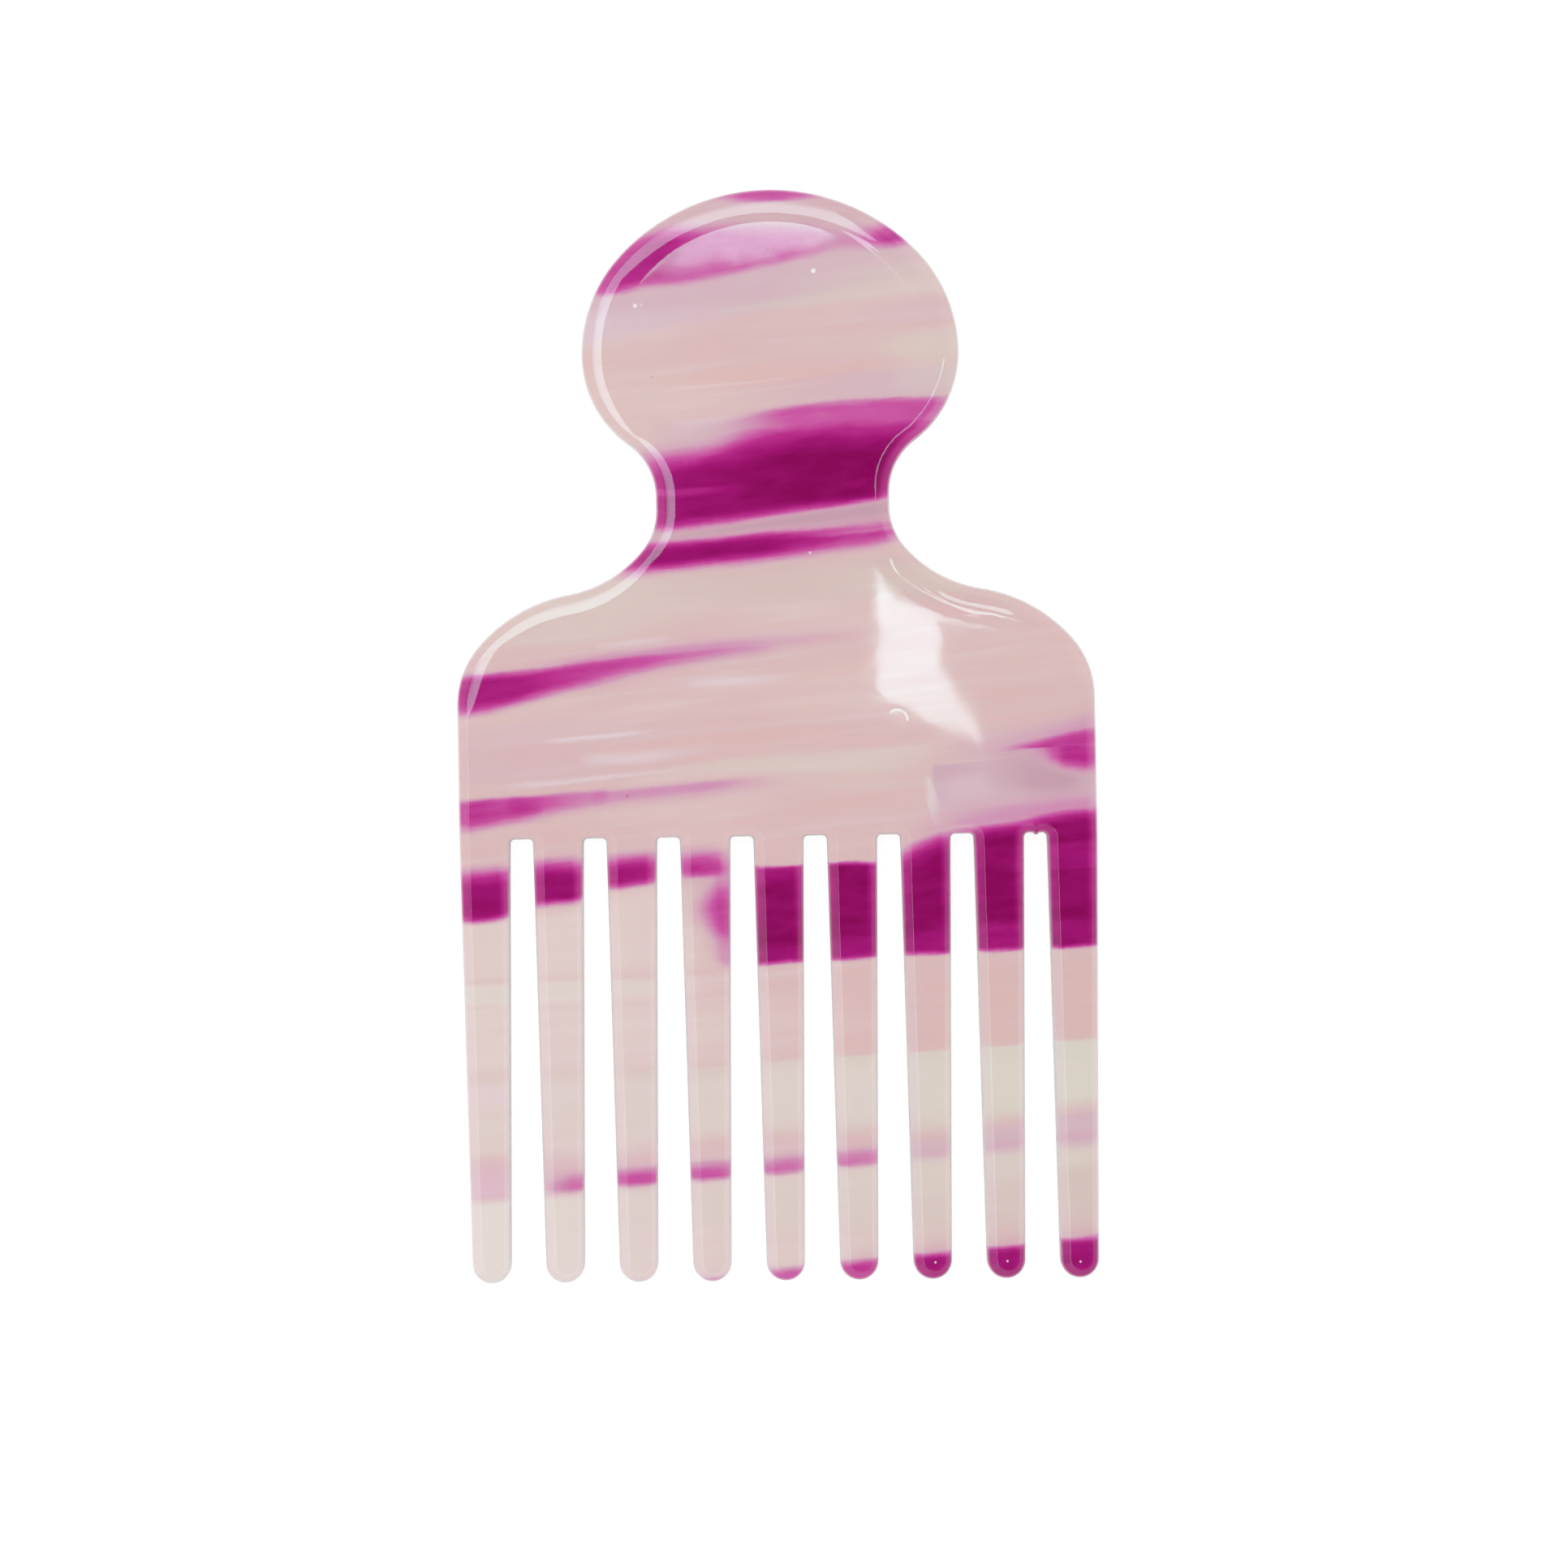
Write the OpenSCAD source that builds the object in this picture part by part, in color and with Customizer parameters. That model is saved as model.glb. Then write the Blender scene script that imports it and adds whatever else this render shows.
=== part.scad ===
// Wide-tooth comb with an oval head as its handle, cut from one sheet of cellulose acetate.
// It lies flat: the head points along +Y, the teeth along -Y and the sheet's thickness along +Z.
// The origin is on the underside, on the line of symmetry and halfway along the length.
// The comb is one piece of acetate, so its regions meet face to face and nothing moves.

/* [Sheet] */
// Length, from the top of the head to the tooth tips
comb_l = 120; // [112:1:128]
// Width across the row of teeth
comb_w = 70; // [66:0.5:76]
// Thickness of the acetate sheet
sheet_t = 4; // [3:0.25:6]
// Radius of the polished edge, on both faces
edge_r = 1; // [0.6:0.1:1.4]

/* [Head] */
// Width of the oval head that the palm holds
head_w = 41.4; // [39:0.2:44]
// Height of the head above its widest line
head_rise = 18; // [17:0.25:20]
// Radius of the head's sides, above the widest line
head_side_r = 16; // [14:0.5:16.5]
// Radius of the head below its widest line
head_low_r = 12; // [10.5:0.5:13]

/* [Neck] */
// Width of the waist between the fingers
neck_w = 25.6; // [23:0.2:27]
// Straight length of the waist, between the coves above and below it
waist_l = 1.5; // [0:0.25:6]
// Radius of the cove under the head
under_head_r = 7.2; // [6:0.2:7.6]
// Radius of the cove where the waist starts to widen
waist_r = 6.8; // [5.6:0.2:8]
// Turn of that cove, in degrees
waist_turn = 40; // [34:1:48]
// Radius of the wide cove that sweeps out to the shoulders
sweep_r = 13.8; // [12:0.2:15]

/* [Shoulders] */
// Radius over the top of each shoulder
shoulder_r = 17; // [15:0.5:19]
// Radius of each outer corner
corner_r = 9.8; // [8:0.2:12]
// Angle at which the shoulder hands over to the corner, in degrees above level
corner_turn = 41.5; // [36:0.5:46]

/* [Teeth] */
// Number of teeth
teeth = 9; // [7:1:10]
// Length of the slots between the teeth
slot_l = 48.9; // [44:0.1:50]
// Width of a tooth at its root
root_w = 5.5; // [4.8:0.1:6]
// Width across a tooth's round tip
tip_w = 4.2; // [3.6:0.1:4.6]
// Radius in the corners of a slot's closed end
slot_corner_r = 0.5; // [0.3:0.1:0.9]

/* [Hidden] */

arc_steps = 8; // straight steps along each arc of the outline
edge_steps = 4; // and through each quarter turn of the polished edge
into_cove = 12; // the neck ends this many degrees inside the cove at each end
overshoot = 1; // a slot's cutter runs this far past each surface that it cuts
near = 0.001; // points closer than this are the same point

// Levels along the comb
top_y = comb_l / 2;
wide_y = top_y - head_rise;
slot_y = slot_l - top_y;
root_y = slot_y - slot_corner_r; // the teeth leave the back here, just below the slot corners

// Teeth
pitch = (comb_w - root_w) / (teeth - 1);
slot_w = pitch - root_w;
tip_r = tip_w / 2;
tip_y = tip_r - top_y;
flank_rise = root_y - tip_y;
flank_lean = acos(tip_r / norm([root_w / 2, flank_rise])) - atan2(flank_rise, root_w / 2);

function tooth_x(i) = (i - (teeth + 1) / 2) * pitch;
function slot_x(i) = (tooth_x(i) + tooth_x(i + 1)) / 2;
function direction(a) = [cos(a), sin(a)];
function bearing(from, to) = atan2(to.y - from.y, to.x - from.x);

// Height between the centres of two arcs that touch, a known distance apart in width
function climb(reach, width) = sqrt(pow(reach, 2) - pow(width, 2));

// Centres of the right-hand outline's arcs, from the top down. Each follows from the one above,
// so that every arc runs smoothly into the next.
head_top_r = (pow(head_w / 2 - head_side_r, 2) + pow(head_rise, 2) - pow(head_side_r, 2))
    / (2 * (head_rise - head_side_r));
head_top_c = [0, top_y - head_top_r];
head_side_c = [head_w / 2 - head_side_r, wide_y];
head_low_c = [head_w / 2 - head_low_r, wide_y];
under_head_x = neck_w / 2 + under_head_r;
under_head_y = wide_y - climb(head_low_r + under_head_r, under_head_x - head_low_c.x);
under_head_c = [under_head_x, under_head_y];
waist_c = [neck_w / 2 + waist_r, under_head_y - waist_l];
sweep_c = waist_c + (sweep_r - waist_r) * direction(waist_turn);
shoulder_x = comb_w / 2 - corner_r - (shoulder_r - corner_r) * cos(corner_turn);
shoulder_y = sweep_c.y - climb(sweep_r + shoulder_r, sweep_c.x - shoulder_x);
shoulder_c = [shoulder_x, shoulder_y];
corner_c = shoulder_c + (shoulder_r - corner_r) * direction(corner_turn);

// Angles at which one arc hands over to the next
head_turn = bearing(head_top_c, head_side_c);
low_turn = bearing(head_low_c, under_head_c);
sweep_turn = 360 + bearing(sweep_c, shoulder_c);

// Each arc is its centre, its radius and its two end angles. A hollow arc has a negative radius.
head_top = [head_top_c, head_top_r, 90, head_turn];
head_side = [head_side_c, head_side_r, head_turn, 0];
head_low = [head_low_c, head_low_r, 0, low_turn];
under_head = [under_head_c, -under_head_r, 180 + low_turn, 180];
waist = [waist_c, -waist_r, 180, 180 + waist_turn];
sweep = [sweep_c, -sweep_r, 180 + waist_turn, sweep_turn];
shoulder = [shoulder_c, shoulder_r, sweep_turn - 180, corner_turn];
corner = [corner_c, corner_r, corner_turn, 0];
tooth_tip = [[0, tip_y], tip_r, -flank_lean, -90];
slot_corner = [[slot_w / 2 - slot_corner_r, root_y], slot_corner_r, 90, 0];

// Levels at which the neck meets the head and the back
neck_top_y = under_head_c.y + under_head_r * sin(180 + low_turn + into_cove);
neck_low_y = sweep_c.y + sweep_r * sin(sweep_turn - into_cove);

// Points along an arc, a given depth inside the outline
function along(arc, depth, from, to) =
    let (
        start = is_undef(from) ? arc[2] : from,
        end = is_undef(to) ? arc[3] : to,
        r = abs(arc[1]) - sign(arc[1]) * depth
    )
        [for (k = [0:arc_steps]) arc[0] + r * direction(start + (end - start) * k / arc_steps)];

// Angle at which a hollow arc, a given depth inside the outline, crosses a level
function crossing(arc, depth, level) = 180 - asin((level - arc[0].y) / (depth - arc[1]));

// Right-hand outlines, from the top down, at a given depth inside the full outline
head_outline = function (depth) concat(
    along(head_top, depth),
    along(head_side, depth),
    along(head_low, depth),
    along(under_head, depth, to = crossing(under_head, depth, neck_top_y))
);
neck_outline = function (depth) concat(
    along(under_head, depth, from = crossing(under_head, depth, neck_top_y)),
    along(waist, depth),
    along(sweep, depth, to = crossing(sweep, depth, neck_low_y))
);
back_outline = function (depth) concat(
    along(sweep, depth, from = crossing(sweep, depth, neck_low_y)),
    along(shoulder, depth),
    along(corner, depth),
    [[comb_w / 2 - depth, root_y]]
);
tooth_outline = function (depth) concat(
    [[root_w / 2 - depth, root_y]],
    along(tooth_tip, depth)
);
slot_outline = function (depth) concat(
    along(slot_corner, -depth), // the slot flares out where the material draws in
    [[slot_w / 2 + depth, root_y - overshoot]]
);

// Depth and height of each ring of points round the polished edge, from the underside up
lower_edge = [
    for (k = [0:edge_steps])
        let (a = 90 * k / edge_steps)
            edge_r * [1 - sin(a), 1 - cos(a)]
];
upper_edge = [for (k = [edge_steps:-1:0]) [lower_edge[k].x, sheet_t - lower_edge[k].y]];
polished_edge = concat(lower_edge, upper_edge);
slot_edge = concat([[edge_r, -overshoot]], polished_edge, [[edge_r, sheet_t + overshoot]]);

// Closed loop from a right-hand outline and its mirror image
function distinct(points) = [
    for (k = [0:len(points) - 1])
        if (k == 0 || norm(points[k] - points[k - 1]) > near) points[k]
];
function mirrored(points) = [
    for (k = [len(points) - 1:-1:0])
        if (points[k].x > near) [-points[k].x, points[k].y]
];
function loop(outline) = let (right = distinct(outline)) concat(right, mirrored(right));

// Solid whose edge passes through the loop that an outline gives at each ring's depth
module solid(outline_at, rings) {
    loops = [for (ring = rings) loop(outline_at(ring.x))];
    n = len(loops[0]);
    last = len(rings) - 1;
    middle = [for (p = loops[0]) 1] * loops[0] / n;
    loop_points = [for (j = [0:last]) for (p = loops[j]) [p.x, p.y, rings[j].y]];
    floor_point = [middle.x, middle.y, rings[0].y];
    roof_point = [middle.x, middle.y, rings[last].y];

    top = last * n;
    floor = top + n;
    roof = floor + 1;
    walls = [
        for (j = [0:last - 1], k = [0:n - 1])
            let (a = j * n + k, b = j * n + (k + 1) % n)
                each [[a, b, b + n], [a, b + n, a + n]]
    ];
    faces = [
        for (k = [0:n - 1])
            let (next = (k + 1) % n)
                each [[floor, next, k], [roof, top + k, top + next]]
    ];
    polyhedron(concat(loop_points, [floor_point, roof_point]), concat(walls, faces));
}

module head() {
    color("thistle") solid(head_outline, polished_edge);
}

module neck() {
    color("mediumvioletred") solid(neck_outline, polished_edge);
}

// The back holds the teeth, with the closed ends of the slots between their roots
module back() {
    color("mistyrose") difference() {
        solid(back_outline, polished_edge);
        for (i = [1:teeth - 1])
            translate([slot_x(i), 0, 0]) solid(slot_outline, slot_edge);
    }
}

// One tapered tooth with a round tip
module tooth(i) {
    color("linen") translate([tooth_x(i), 0, 0]) solid(tooth_outline, polished_edge);
}

head();
neck();
back();
for (i = [1:teeth])
    tooth(i);
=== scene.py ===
import math

import bpy
import numpy as np
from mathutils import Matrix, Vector, noise
from mathutils.geometry import delaunay_2d_cdt


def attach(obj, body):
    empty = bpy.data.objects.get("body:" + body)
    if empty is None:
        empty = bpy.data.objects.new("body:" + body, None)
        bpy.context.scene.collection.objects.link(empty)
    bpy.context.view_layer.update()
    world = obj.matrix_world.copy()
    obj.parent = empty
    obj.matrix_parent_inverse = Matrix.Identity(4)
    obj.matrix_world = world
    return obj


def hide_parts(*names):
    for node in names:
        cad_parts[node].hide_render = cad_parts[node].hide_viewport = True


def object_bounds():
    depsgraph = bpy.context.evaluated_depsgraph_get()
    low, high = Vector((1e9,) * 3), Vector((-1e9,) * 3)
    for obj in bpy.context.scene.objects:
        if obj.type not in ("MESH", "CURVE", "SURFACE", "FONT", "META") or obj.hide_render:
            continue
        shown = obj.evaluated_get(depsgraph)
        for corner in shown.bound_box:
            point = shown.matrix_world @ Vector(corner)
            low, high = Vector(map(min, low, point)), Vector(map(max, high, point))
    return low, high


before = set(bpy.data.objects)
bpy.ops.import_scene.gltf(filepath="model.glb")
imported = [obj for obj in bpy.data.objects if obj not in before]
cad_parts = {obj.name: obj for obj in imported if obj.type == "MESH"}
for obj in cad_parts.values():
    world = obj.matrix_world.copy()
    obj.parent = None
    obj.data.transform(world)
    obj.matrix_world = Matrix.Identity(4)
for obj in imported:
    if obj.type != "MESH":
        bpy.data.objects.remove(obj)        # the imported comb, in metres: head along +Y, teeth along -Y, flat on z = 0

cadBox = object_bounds()
mm = 0.001  # sizes below are in millimetres until they are used, unless a note says otherwise
cadSize = [round((high - low) / mm, 3) for low, high in zip(*cadBox)]

comb = {
    "width": cadSize[0], "length": cadSize[1], "thickness": cadSize[2],
    "headWidth": 41.4, "headSideRadius": 16.0, "headLowRadius": 12.0,
    "headRise": 18.0,  # height of the head above its widest line
    "waistWidth": 25.6, "waistLength": 1.5, "underHeadRadius": 7.2, "waistRadius": 6.8,
    "waistTurn": 40.0,  # degrees
    "sweepRadius": 13.8, "shoulderRadius": 17.0, "cornerRadius": 9.8,
    "cornerTurn": 41.5,  # degrees above level where the shoulder hands over to the corner
    "teeth": 9, "slotLength": 48.9, "rootWidth": 5.5, "tipWidth": 4.2, "slotCornerRadius": 0.5,
    "burr": {"x": 28.3, "length": 0.3, "width": 0.14},  # in the eighth slot
    "skew": 0.5,  # the left-hand teeth were cut this much shorter
    "skewGrowth": ((4, 6), (12, 46)),  # half of it starts so far below the origin and takes so long
}
topY = comb["length"] / 2
rootY = comb["slotLength"] - topY - comb["slotCornerRadius"]  # the teeth's roots

# Steps between the outline's points
spacing = {"curve": 0.5, "side": 0.8, "flank": 1.1, "tip": 0.25, "slotCorner": 0.15, "slotEnd": 0.2}
samePoint = 0.01  # points closer than this are the same


def unit(angle):
    return np.array([math.cos(math.radians(angle)), math.sin(math.radians(angle))])


def bearing(a, b):
    return math.degrees(math.atan2(b[1] - a[1], b[0] - a[0]))


# Height between the centres of two arcs that touch, a known distance apart in width
def climb(reach, width):
    return math.sqrt(reach ** 2 - width ** 2)


# Both of these give points with the outward normal at each
def arcPoints(centre, radius, start, end, hollow=False, step=spacing["curve"]):
    count = max(3, math.ceil(abs(radius * math.radians(end - start)) / step))
    turns = [start + (end - start) * k / count for k in range(count + 1)]
    side = -1 if hollow else 1
    return [(np.array(centre) + radius * unit(a), side * unit(a)) for a in turns]


def linePoints(start, end, normal, step):
    start, end = np.array(start), np.array(end)
    count = max(1, math.ceil(np.linalg.norm(end - start) / step))
    return [(start + (end - start) * k / count, np.array(normal)) for k in range(count + 1)]


# Right-hand side from the top of the head down to the root of the last tooth
def sideOutline():
    wideY = topY - comb["headRise"]
    halfHead = comb["headWidth"] / 2
    halfComb = comb["width"] / 2
    sideR, lowR = comb["headSideRadius"], comb["headLowRadius"]
    coveR, waistR, sweepR = comb["underHeadRadius"], comb["waistRadius"], comb["sweepRadius"]
    shoulderR, cornerR = comb["shoulderRadius"], comb["cornerRadius"]

    rise = comb["headRise"]
    topR = ((halfHead - sideR) ** 2 + rise ** 2 - sideR ** 2) / (2 * (rise - sideR))
    headTop = np.array([0, topY - topR])
    headSide = np.array([halfHead - sideR, wideY])
    headLow = np.array([halfHead - lowR, wideY])
    coveX = comb["waistWidth"] / 2 + coveR
    underHead = np.array([coveX, wideY - climb(lowR + coveR, coveX - headLow[0])])
    waist = np.array([comb["waistWidth"] / 2 + waistR, underHead[1] - comb["waistLength"]])
    sweep = waist + (sweepR - waistR) * unit(comb["waistTurn"])
    turn = comb["cornerTurn"]
    shoulderX = halfComb - cornerR - (shoulderR - cornerR) * math.cos(math.radians(turn))
    shoulder = np.array([shoulderX, sweep[1] - climb(sweepR + shoulderR, sweep[0] - shoulderX)])
    corner = shoulder + (shoulderR - cornerR) * unit(turn)

    headTurn = bearing(headTop, headSide)
    lowTurn = bearing(headLow, underHead)
    sweepTurn = 360 + bearing(sweep, shoulder)
    return (
        arcPoints(headTop, topR, 90, headTurn)
        + arcPoints(headSide, sideR, headTurn, 0)
        + arcPoints(headLow, lowR, 0, lowTurn)
        + arcPoints(underHead, coveR, 180 + lowTurn, 180, hollow=True)
        + arcPoints(waist, waistR, 180, 180 + comb["waistTurn"], hollow=True)
        + arcPoints(sweep, sweepR, 180 + comb["waistTurn"], sweepTurn, hollow=True)
        + arcPoints(shoulder, shoulderR, sweepTurn - 180, turn)
        + arcPoints(corner, cornerR, turn, 0)
        + linePoints([halfComb, corner[1]], [halfComb, rootY], [1, 0], spacing["side"])
    )


def toothOutline(x):
    tipR = comb["tipWidth"] / 2
    tipY = tipR - topY
    half, rise = comb["rootWidth"] / 2, rootY - tipY
    lean = math.degrees(math.acos(tipR / math.hypot(half, rise)) - math.atan2(rise, half))
    tip = arcPoints([x, tipY], tipR, -lean, -180 + lean, step=spacing["tip"])
    right = linePoints([x + half, rootY], tip[0][0], unit(-lean), spacing["flank"])
    left = linePoints(tip[-1][0], [x - half, rootY], unit(180 + lean), spacing["flank"])
    return right + tip + left


def slotEnd(x, width):
    r, step = comb["slotCornerRadius"], spacing["slotCorner"]
    right = arcPoints([x + width / 2 - r, rootY], r, 0, 90, hollow=True, step=step)
    left = arcPoints([x - width / 2 + r, rootY], r, 90, 180, hollow=True, step=step)
    return right + linePoints(right[-1][0], left[0][0], [0, -1], spacing["slotEnd"]) + left


# Whole outline, clockwise from the top of the head
def combOutline():
    pitch = (comb["width"] - comb["rootWidth"]) / (comb["teeth"] - 1)
    side = sideOutline()
    points = list(side)
    for i in reversed(range(comb["teeth"])):
        x = (i - (comb["teeth"] - 1) / 2) * pitch
        points += toothOutline(x)
        if i:
            points += slotEnd(x - pitch / 2, pitch - comb["rootWidth"])
    points += [(p * [-1, 1], n * [-1, 1]) for p, n in reversed(side)]
    kept = [points[0]]
    for p, n in points[1:]:
        if np.linalg.norm(p - kept[-1][0]) > samePoint:
            kept.append((p, n))
    if np.linalg.norm(kept[-1][0] - kept[0][0]) < samePoint:
        kept.pop()
    loop, normals = (np.array(column) for column in zip(*kept))
    burr = comb["burr"]
    atEnd = abs(loop[:, 1] - rootY - comb["slotCornerRadius"]) < samePoint
    drop = burr["length"] * np.exp(-((loop[:, 0] - burr["x"]) / burr["width"]) ** 2 / 2)
    loop[:, 1] -= np.where(atEnd, drop, 0)
    return loop, normals


edge = {
    "facet": 0.84,  # width of the polished facet inside every edge
    "facetLean": 0.22,  # it is this much wider where it faces left, and narrower where it faces right
    "facetSlope": (0.36, 0.2),  # on the teeth, and under the crown
    "facetBlend": (0.1, 0.32),  # over which it runs into the flat, in the same two places
    "facetEnd": 0.1,  # the blend ends this far past the facet
    "facetRings": (-0.15, -0.08, -0.02, 0.04, 0.1, 0.3),  # places of rings of points, past the facet
    "corner": 0.3,  # width of the round corner outside the facet
    "cornerDrop": 0.55,  # and its height
    "cornerRings": (0, 20, 40, 62, 90),  # and of others, in degrees round the corner
    "crown": 3.7,  # the buffed crown starts this far inside the outline
    "crownRate": 0.05,  # its drop a millimetre from there, which grows with the square
    "crownEnds": (-2.0, 7.0),  # it fades out between these levels, above the teeth
}

# Slow waves that polishing leaves in the faces
waves = {
    "height": 0.005,
    "slow": (15, 21),  # size of a wave along x and y
    "quick": (5, 7),
    "quickShare": 0.1,
    "inset": 1.2,  # they come in over this distance from the outline
    "seeds": {"upper": 1.7, "lower": 8.3, "quick": 5},
}

# Small marks in the upper face
curlMark = {
    "centre": (13.2, 1.5),
    "radius": 1.15,
    "depth": 0.07,
    "width": 0.15,
    "ends": (-15, 150),  # degrees round its centre
    "fades": (25, 45),  # degrees over which it fades out at those ends
    "rings": (0.7, 1.65, 0.09),  # radii between which rings of points lie, and their spacing
    "ringStep": 7.5,  # degrees from point to point
    "clearance": 1.9,  # radius inside which there are no other points
}
chipMark = {"centre": (21.7, -11.3), "radius": 0.75, "depth": 0.3}


def smooth(t):
    t = np.clip(t, 0, 1)
    return t * t * (3 - 2 * t)


def crownShare(y):
    low, high = edge["crownEnds"]
    return smooth((y - low) / (high - low))


def crownDrop(depth, y):
    return edge["crownRate"] * np.clip(edge["crown"] - depth, 0, None) ** 2 * crownShare(y)


# How far the surface lies below the flat of the sheet, a given depth inside the outline
def edgeDrop(depth, width, y):
    share = crownShare(y)
    slope, blend = ((1 - share) * a + share * b for a, b in (edge["facetSlope"], edge["facetBlend"]))
    reach = np.clip(width + edge["facetEnd"] - depth, 0, None)
    facet = slope * np.where(reach < blend, reach ** 2 / (2 * blend), reach - blend / 2)
    t = np.clip((edge["corner"] - depth) / edge["corner"], 0, 1)
    corner = edge["cornerDrop"] * (1 - np.sqrt(1 - t ** 2))
    return facet + corner + crownDrop(depth, y)


def noiseOver(x, y, size, seed):
    return np.array([noise.noise(Vector((a / size[0], b / size[1], seed))) for a, b in zip(x, y)])


def waveDrop(x, y, seed):
    slow = noiseOver(x, y, waves["slow"], seed)
    quick = noiseOver(x, y, waves["quick"], seed + waves["seeds"]["quick"])
    return waves["height"] * (0.5 + 0.5 * slow + waves["quickShare"] * quick)


# How much of the curl's full depth a place has
def curlShare(x, y):
    dx, dy = x - curlMark["centre"][0], y - curlMark["centre"][1]
    turn = np.degrees(np.arctan2(dy, dx))
    (start, end), (startFade, endFade) = curlMark["ends"], curlMark["fades"]
    ends = smooth((turn - start) / startFade) * smooth((end - turn) / endFade)
    return np.exp(-((np.hypot(dx, dy) - curlMark["radius"]) / curlMark["width"]) ** 2) * ends


# Depth of the curl and the chip below the face round them
def markDrop(x, y):
    away = np.hypot(x - chipMark["centre"][0], y - chipMark["centre"][1]) / chipMark["radius"]
    return curlMark["depth"] * curlShare(x, y) + chipMark["depth"] * (1 - smooth(away))


def plainDrop(flat, depth, width, seed):
    x, y = flat.T
    return edgeDrop(depth, width, y) + waveDrop(x, y, seed) * smooth(depth / waves["inset"])


def upperDrop(flat, depth, width):
    return plainDrop(flat, depth, width, waves["seeds"]["upper"]) + markDrop(*flat.T)


def lowerDrop(flat, depth, width):
    return plainDrop(flat, depth, width, waves["seeds"]["lower"])


# Directions in which a face looks, from how its height changes within a step of each point
def faceNormals(dropAt, flat, depth, width, outward, step=0.004):
    tilts = []
    for axis in (0, 1):
        move = np.zeros(2)
        move[axis] = step
        closer = outward[:, axis] * step
        ahead = dropAt(flat + move, depth - closer, width)
        behind = dropAt(flat - move, depth + closer, width)
        tilts.append((ahead - behind) / (2 * step))
    found = np.column_stack([*tilts, np.ones(len(flat))])
    atWall = depth < step
    found[atWall] = np.column_stack([outward[atWall], np.zeros(atWall.sum())])
    return found / np.linalg.norm(found, axis=1)[:, None]


# Depths inside the outline at which rings of points follow it, from the wall inwards
def ringDepths(width):
    corner, extras = edge["corner"], edge["facetRings"]
    rings = [np.full(len(width), corner * (1 - math.cos(math.radians(a)))) for a in edge["cornerRings"]]
    rings += [(corner + width + extras[0]) / 2]
    return rings + [width + extra for extra in extras]


# Rings of points close enough to carry the curl
def curlPoints():
    turns = np.radians(np.arange(0, 360, curlMark["ringStep"]))
    circle = np.column_stack([np.cos(turns), np.sin(turns)])
    return np.concatenate([circle * r for r in np.arange(*curlMark["rings"])]) + curlMark["centre"]


def insideLoop(points, loop):
    inside = np.zeros(len(points), bool)
    for (ax, ay), (bx, by) in zip(loop, np.roll(loop, -1, axis=0)):
        if ay != by:
            between = (points[:, 1] > min(ay, by)) & (points[:, 1] <= max(ay, by))
            inside ^= between & (points[:, 0] < ax + (points[:, 1] - ay) * (bx - ax) / (by - ay))
    return inside


# Distance of each point from the outline, and the way to the nearest place on it
def nearestEdge(points, loop):
    best = np.full(len(points), np.inf)
    way = np.zeros_like(points)
    for p, q in zip(loop, np.roll(loop, -1, axis=0)):
        d = q - p
        t = np.clip(((points - p) @ d) / (d @ d), 0, 1)
        gap = p + t[:, None] * d - points
        distance = np.linalg.norm(gap, axis=1)
        nearer = distance < best
        best[nearer] = distance[nearer]
        way[nearer] = gap[nearer] / distance[nearer, None]
    return best, way


# The points inside the last ring: rows along the crown, and a grid
filling = {
    "inset": 0.35,  # the rows start this far and one step inside the facet
    "rowStep": 0.35,
    "rowEnd": 0.4,  # and go on this far inside the crown
    "rowSlack": 0.02,  # their points may be this much nearer to another stretch of the outline
    "rowFoot": 1.0,  # they reach this far below the crown's lower end
    "gridStep": 0.9,
    "gridRoom": 0.45,  # share of a step that the grid keeps off the last ring
    "rowRoom": 0.9,  # beside the rows it keeps the crown's width less this,
    "rowRoomFoot": 1.3,  # from this far below the crown's lower end
}


# Rows along the crown, then a triangular grid, then the rings round the curl
def fillPoints(loop, normals, inner):
    crownFoot = edge["crownEnds"][0]
    crowned = np.nonzero(loop[:, 1] > crownFoot - filling["rowFoot"])[0][::2]
    first = edge["facet"] + filling["inset"] + filling["rowStep"]
    rows = []
    for depth in np.arange(first, edge["crown"] + filling["rowEnd"], filling["rowStep"]):
        row = loop[crowned] - normals[crowned] * depth
        rows.append(row[nearestEdge(row, loop)[0] > depth - filling["rowSlack"]])

    step, halfWidth = filling["gridStep"], comb["width"] / 2
    levels = np.arange(-topY, topY, step * math.sqrt(3) / 2)
    places = np.arange(-halfWidth, halfWidth, step)
    grid = np.array([(x + (k % 2) * step / 2, y) for k, y in enumerate(levels) for x in places])
    grid = grid[insideLoop(grid, inner)]
    besideRows = grid[:, 1] > crownFoot - filling["rowRoomFoot"]
    room = np.where(besideRows, edge["crown"] - filling["rowRoom"], step * filling["gridRoom"])
    grid = grid[nearestEdge(grid, inner)[0] > room]
    grid = grid[np.linalg.norm(grid - curlMark["centre"], axis=1) > curlMark["clearance"]]
    return np.concatenate([*rows, grid, curlPoints()])


def fillTriangles(inner, fill):
    points = [Vector(p) for p in [*inner, *fill]]
    insideOnly, tolerance = 1, 1e-7
    found = delaunay_2d_cdt(points, [], [list(range(len(inner)))], insideOnly, tolerance)
    assert len(found[0]) == len(points), "two points of the sheet are the same"
    return [list(f) for f in found[2]]


# Faces of the upper side from the middle of the wall inwards, then those of the lower side
def sheetFaces(count, ringCount, sideCount, triangles):
    faces = []
    last = (ringCount - 1) * count
    for start, over in ((count, True), (count + sideCount, False)):
        inward = [start + k * count for k in range(ringCount)]
        for a, b in zip([0] + inward, inward):
            for i in range(count):
                j = (i + 1) % count
                quad = [a + i, a + j, b + j, b + i]
                faces.append(quad[::-1] if over else quad)
        for triangle in triangles:
            triangle = [start + last + v for v in triangle]
            faces.append(triangle if over else triangle[::-1])
    return faces


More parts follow.
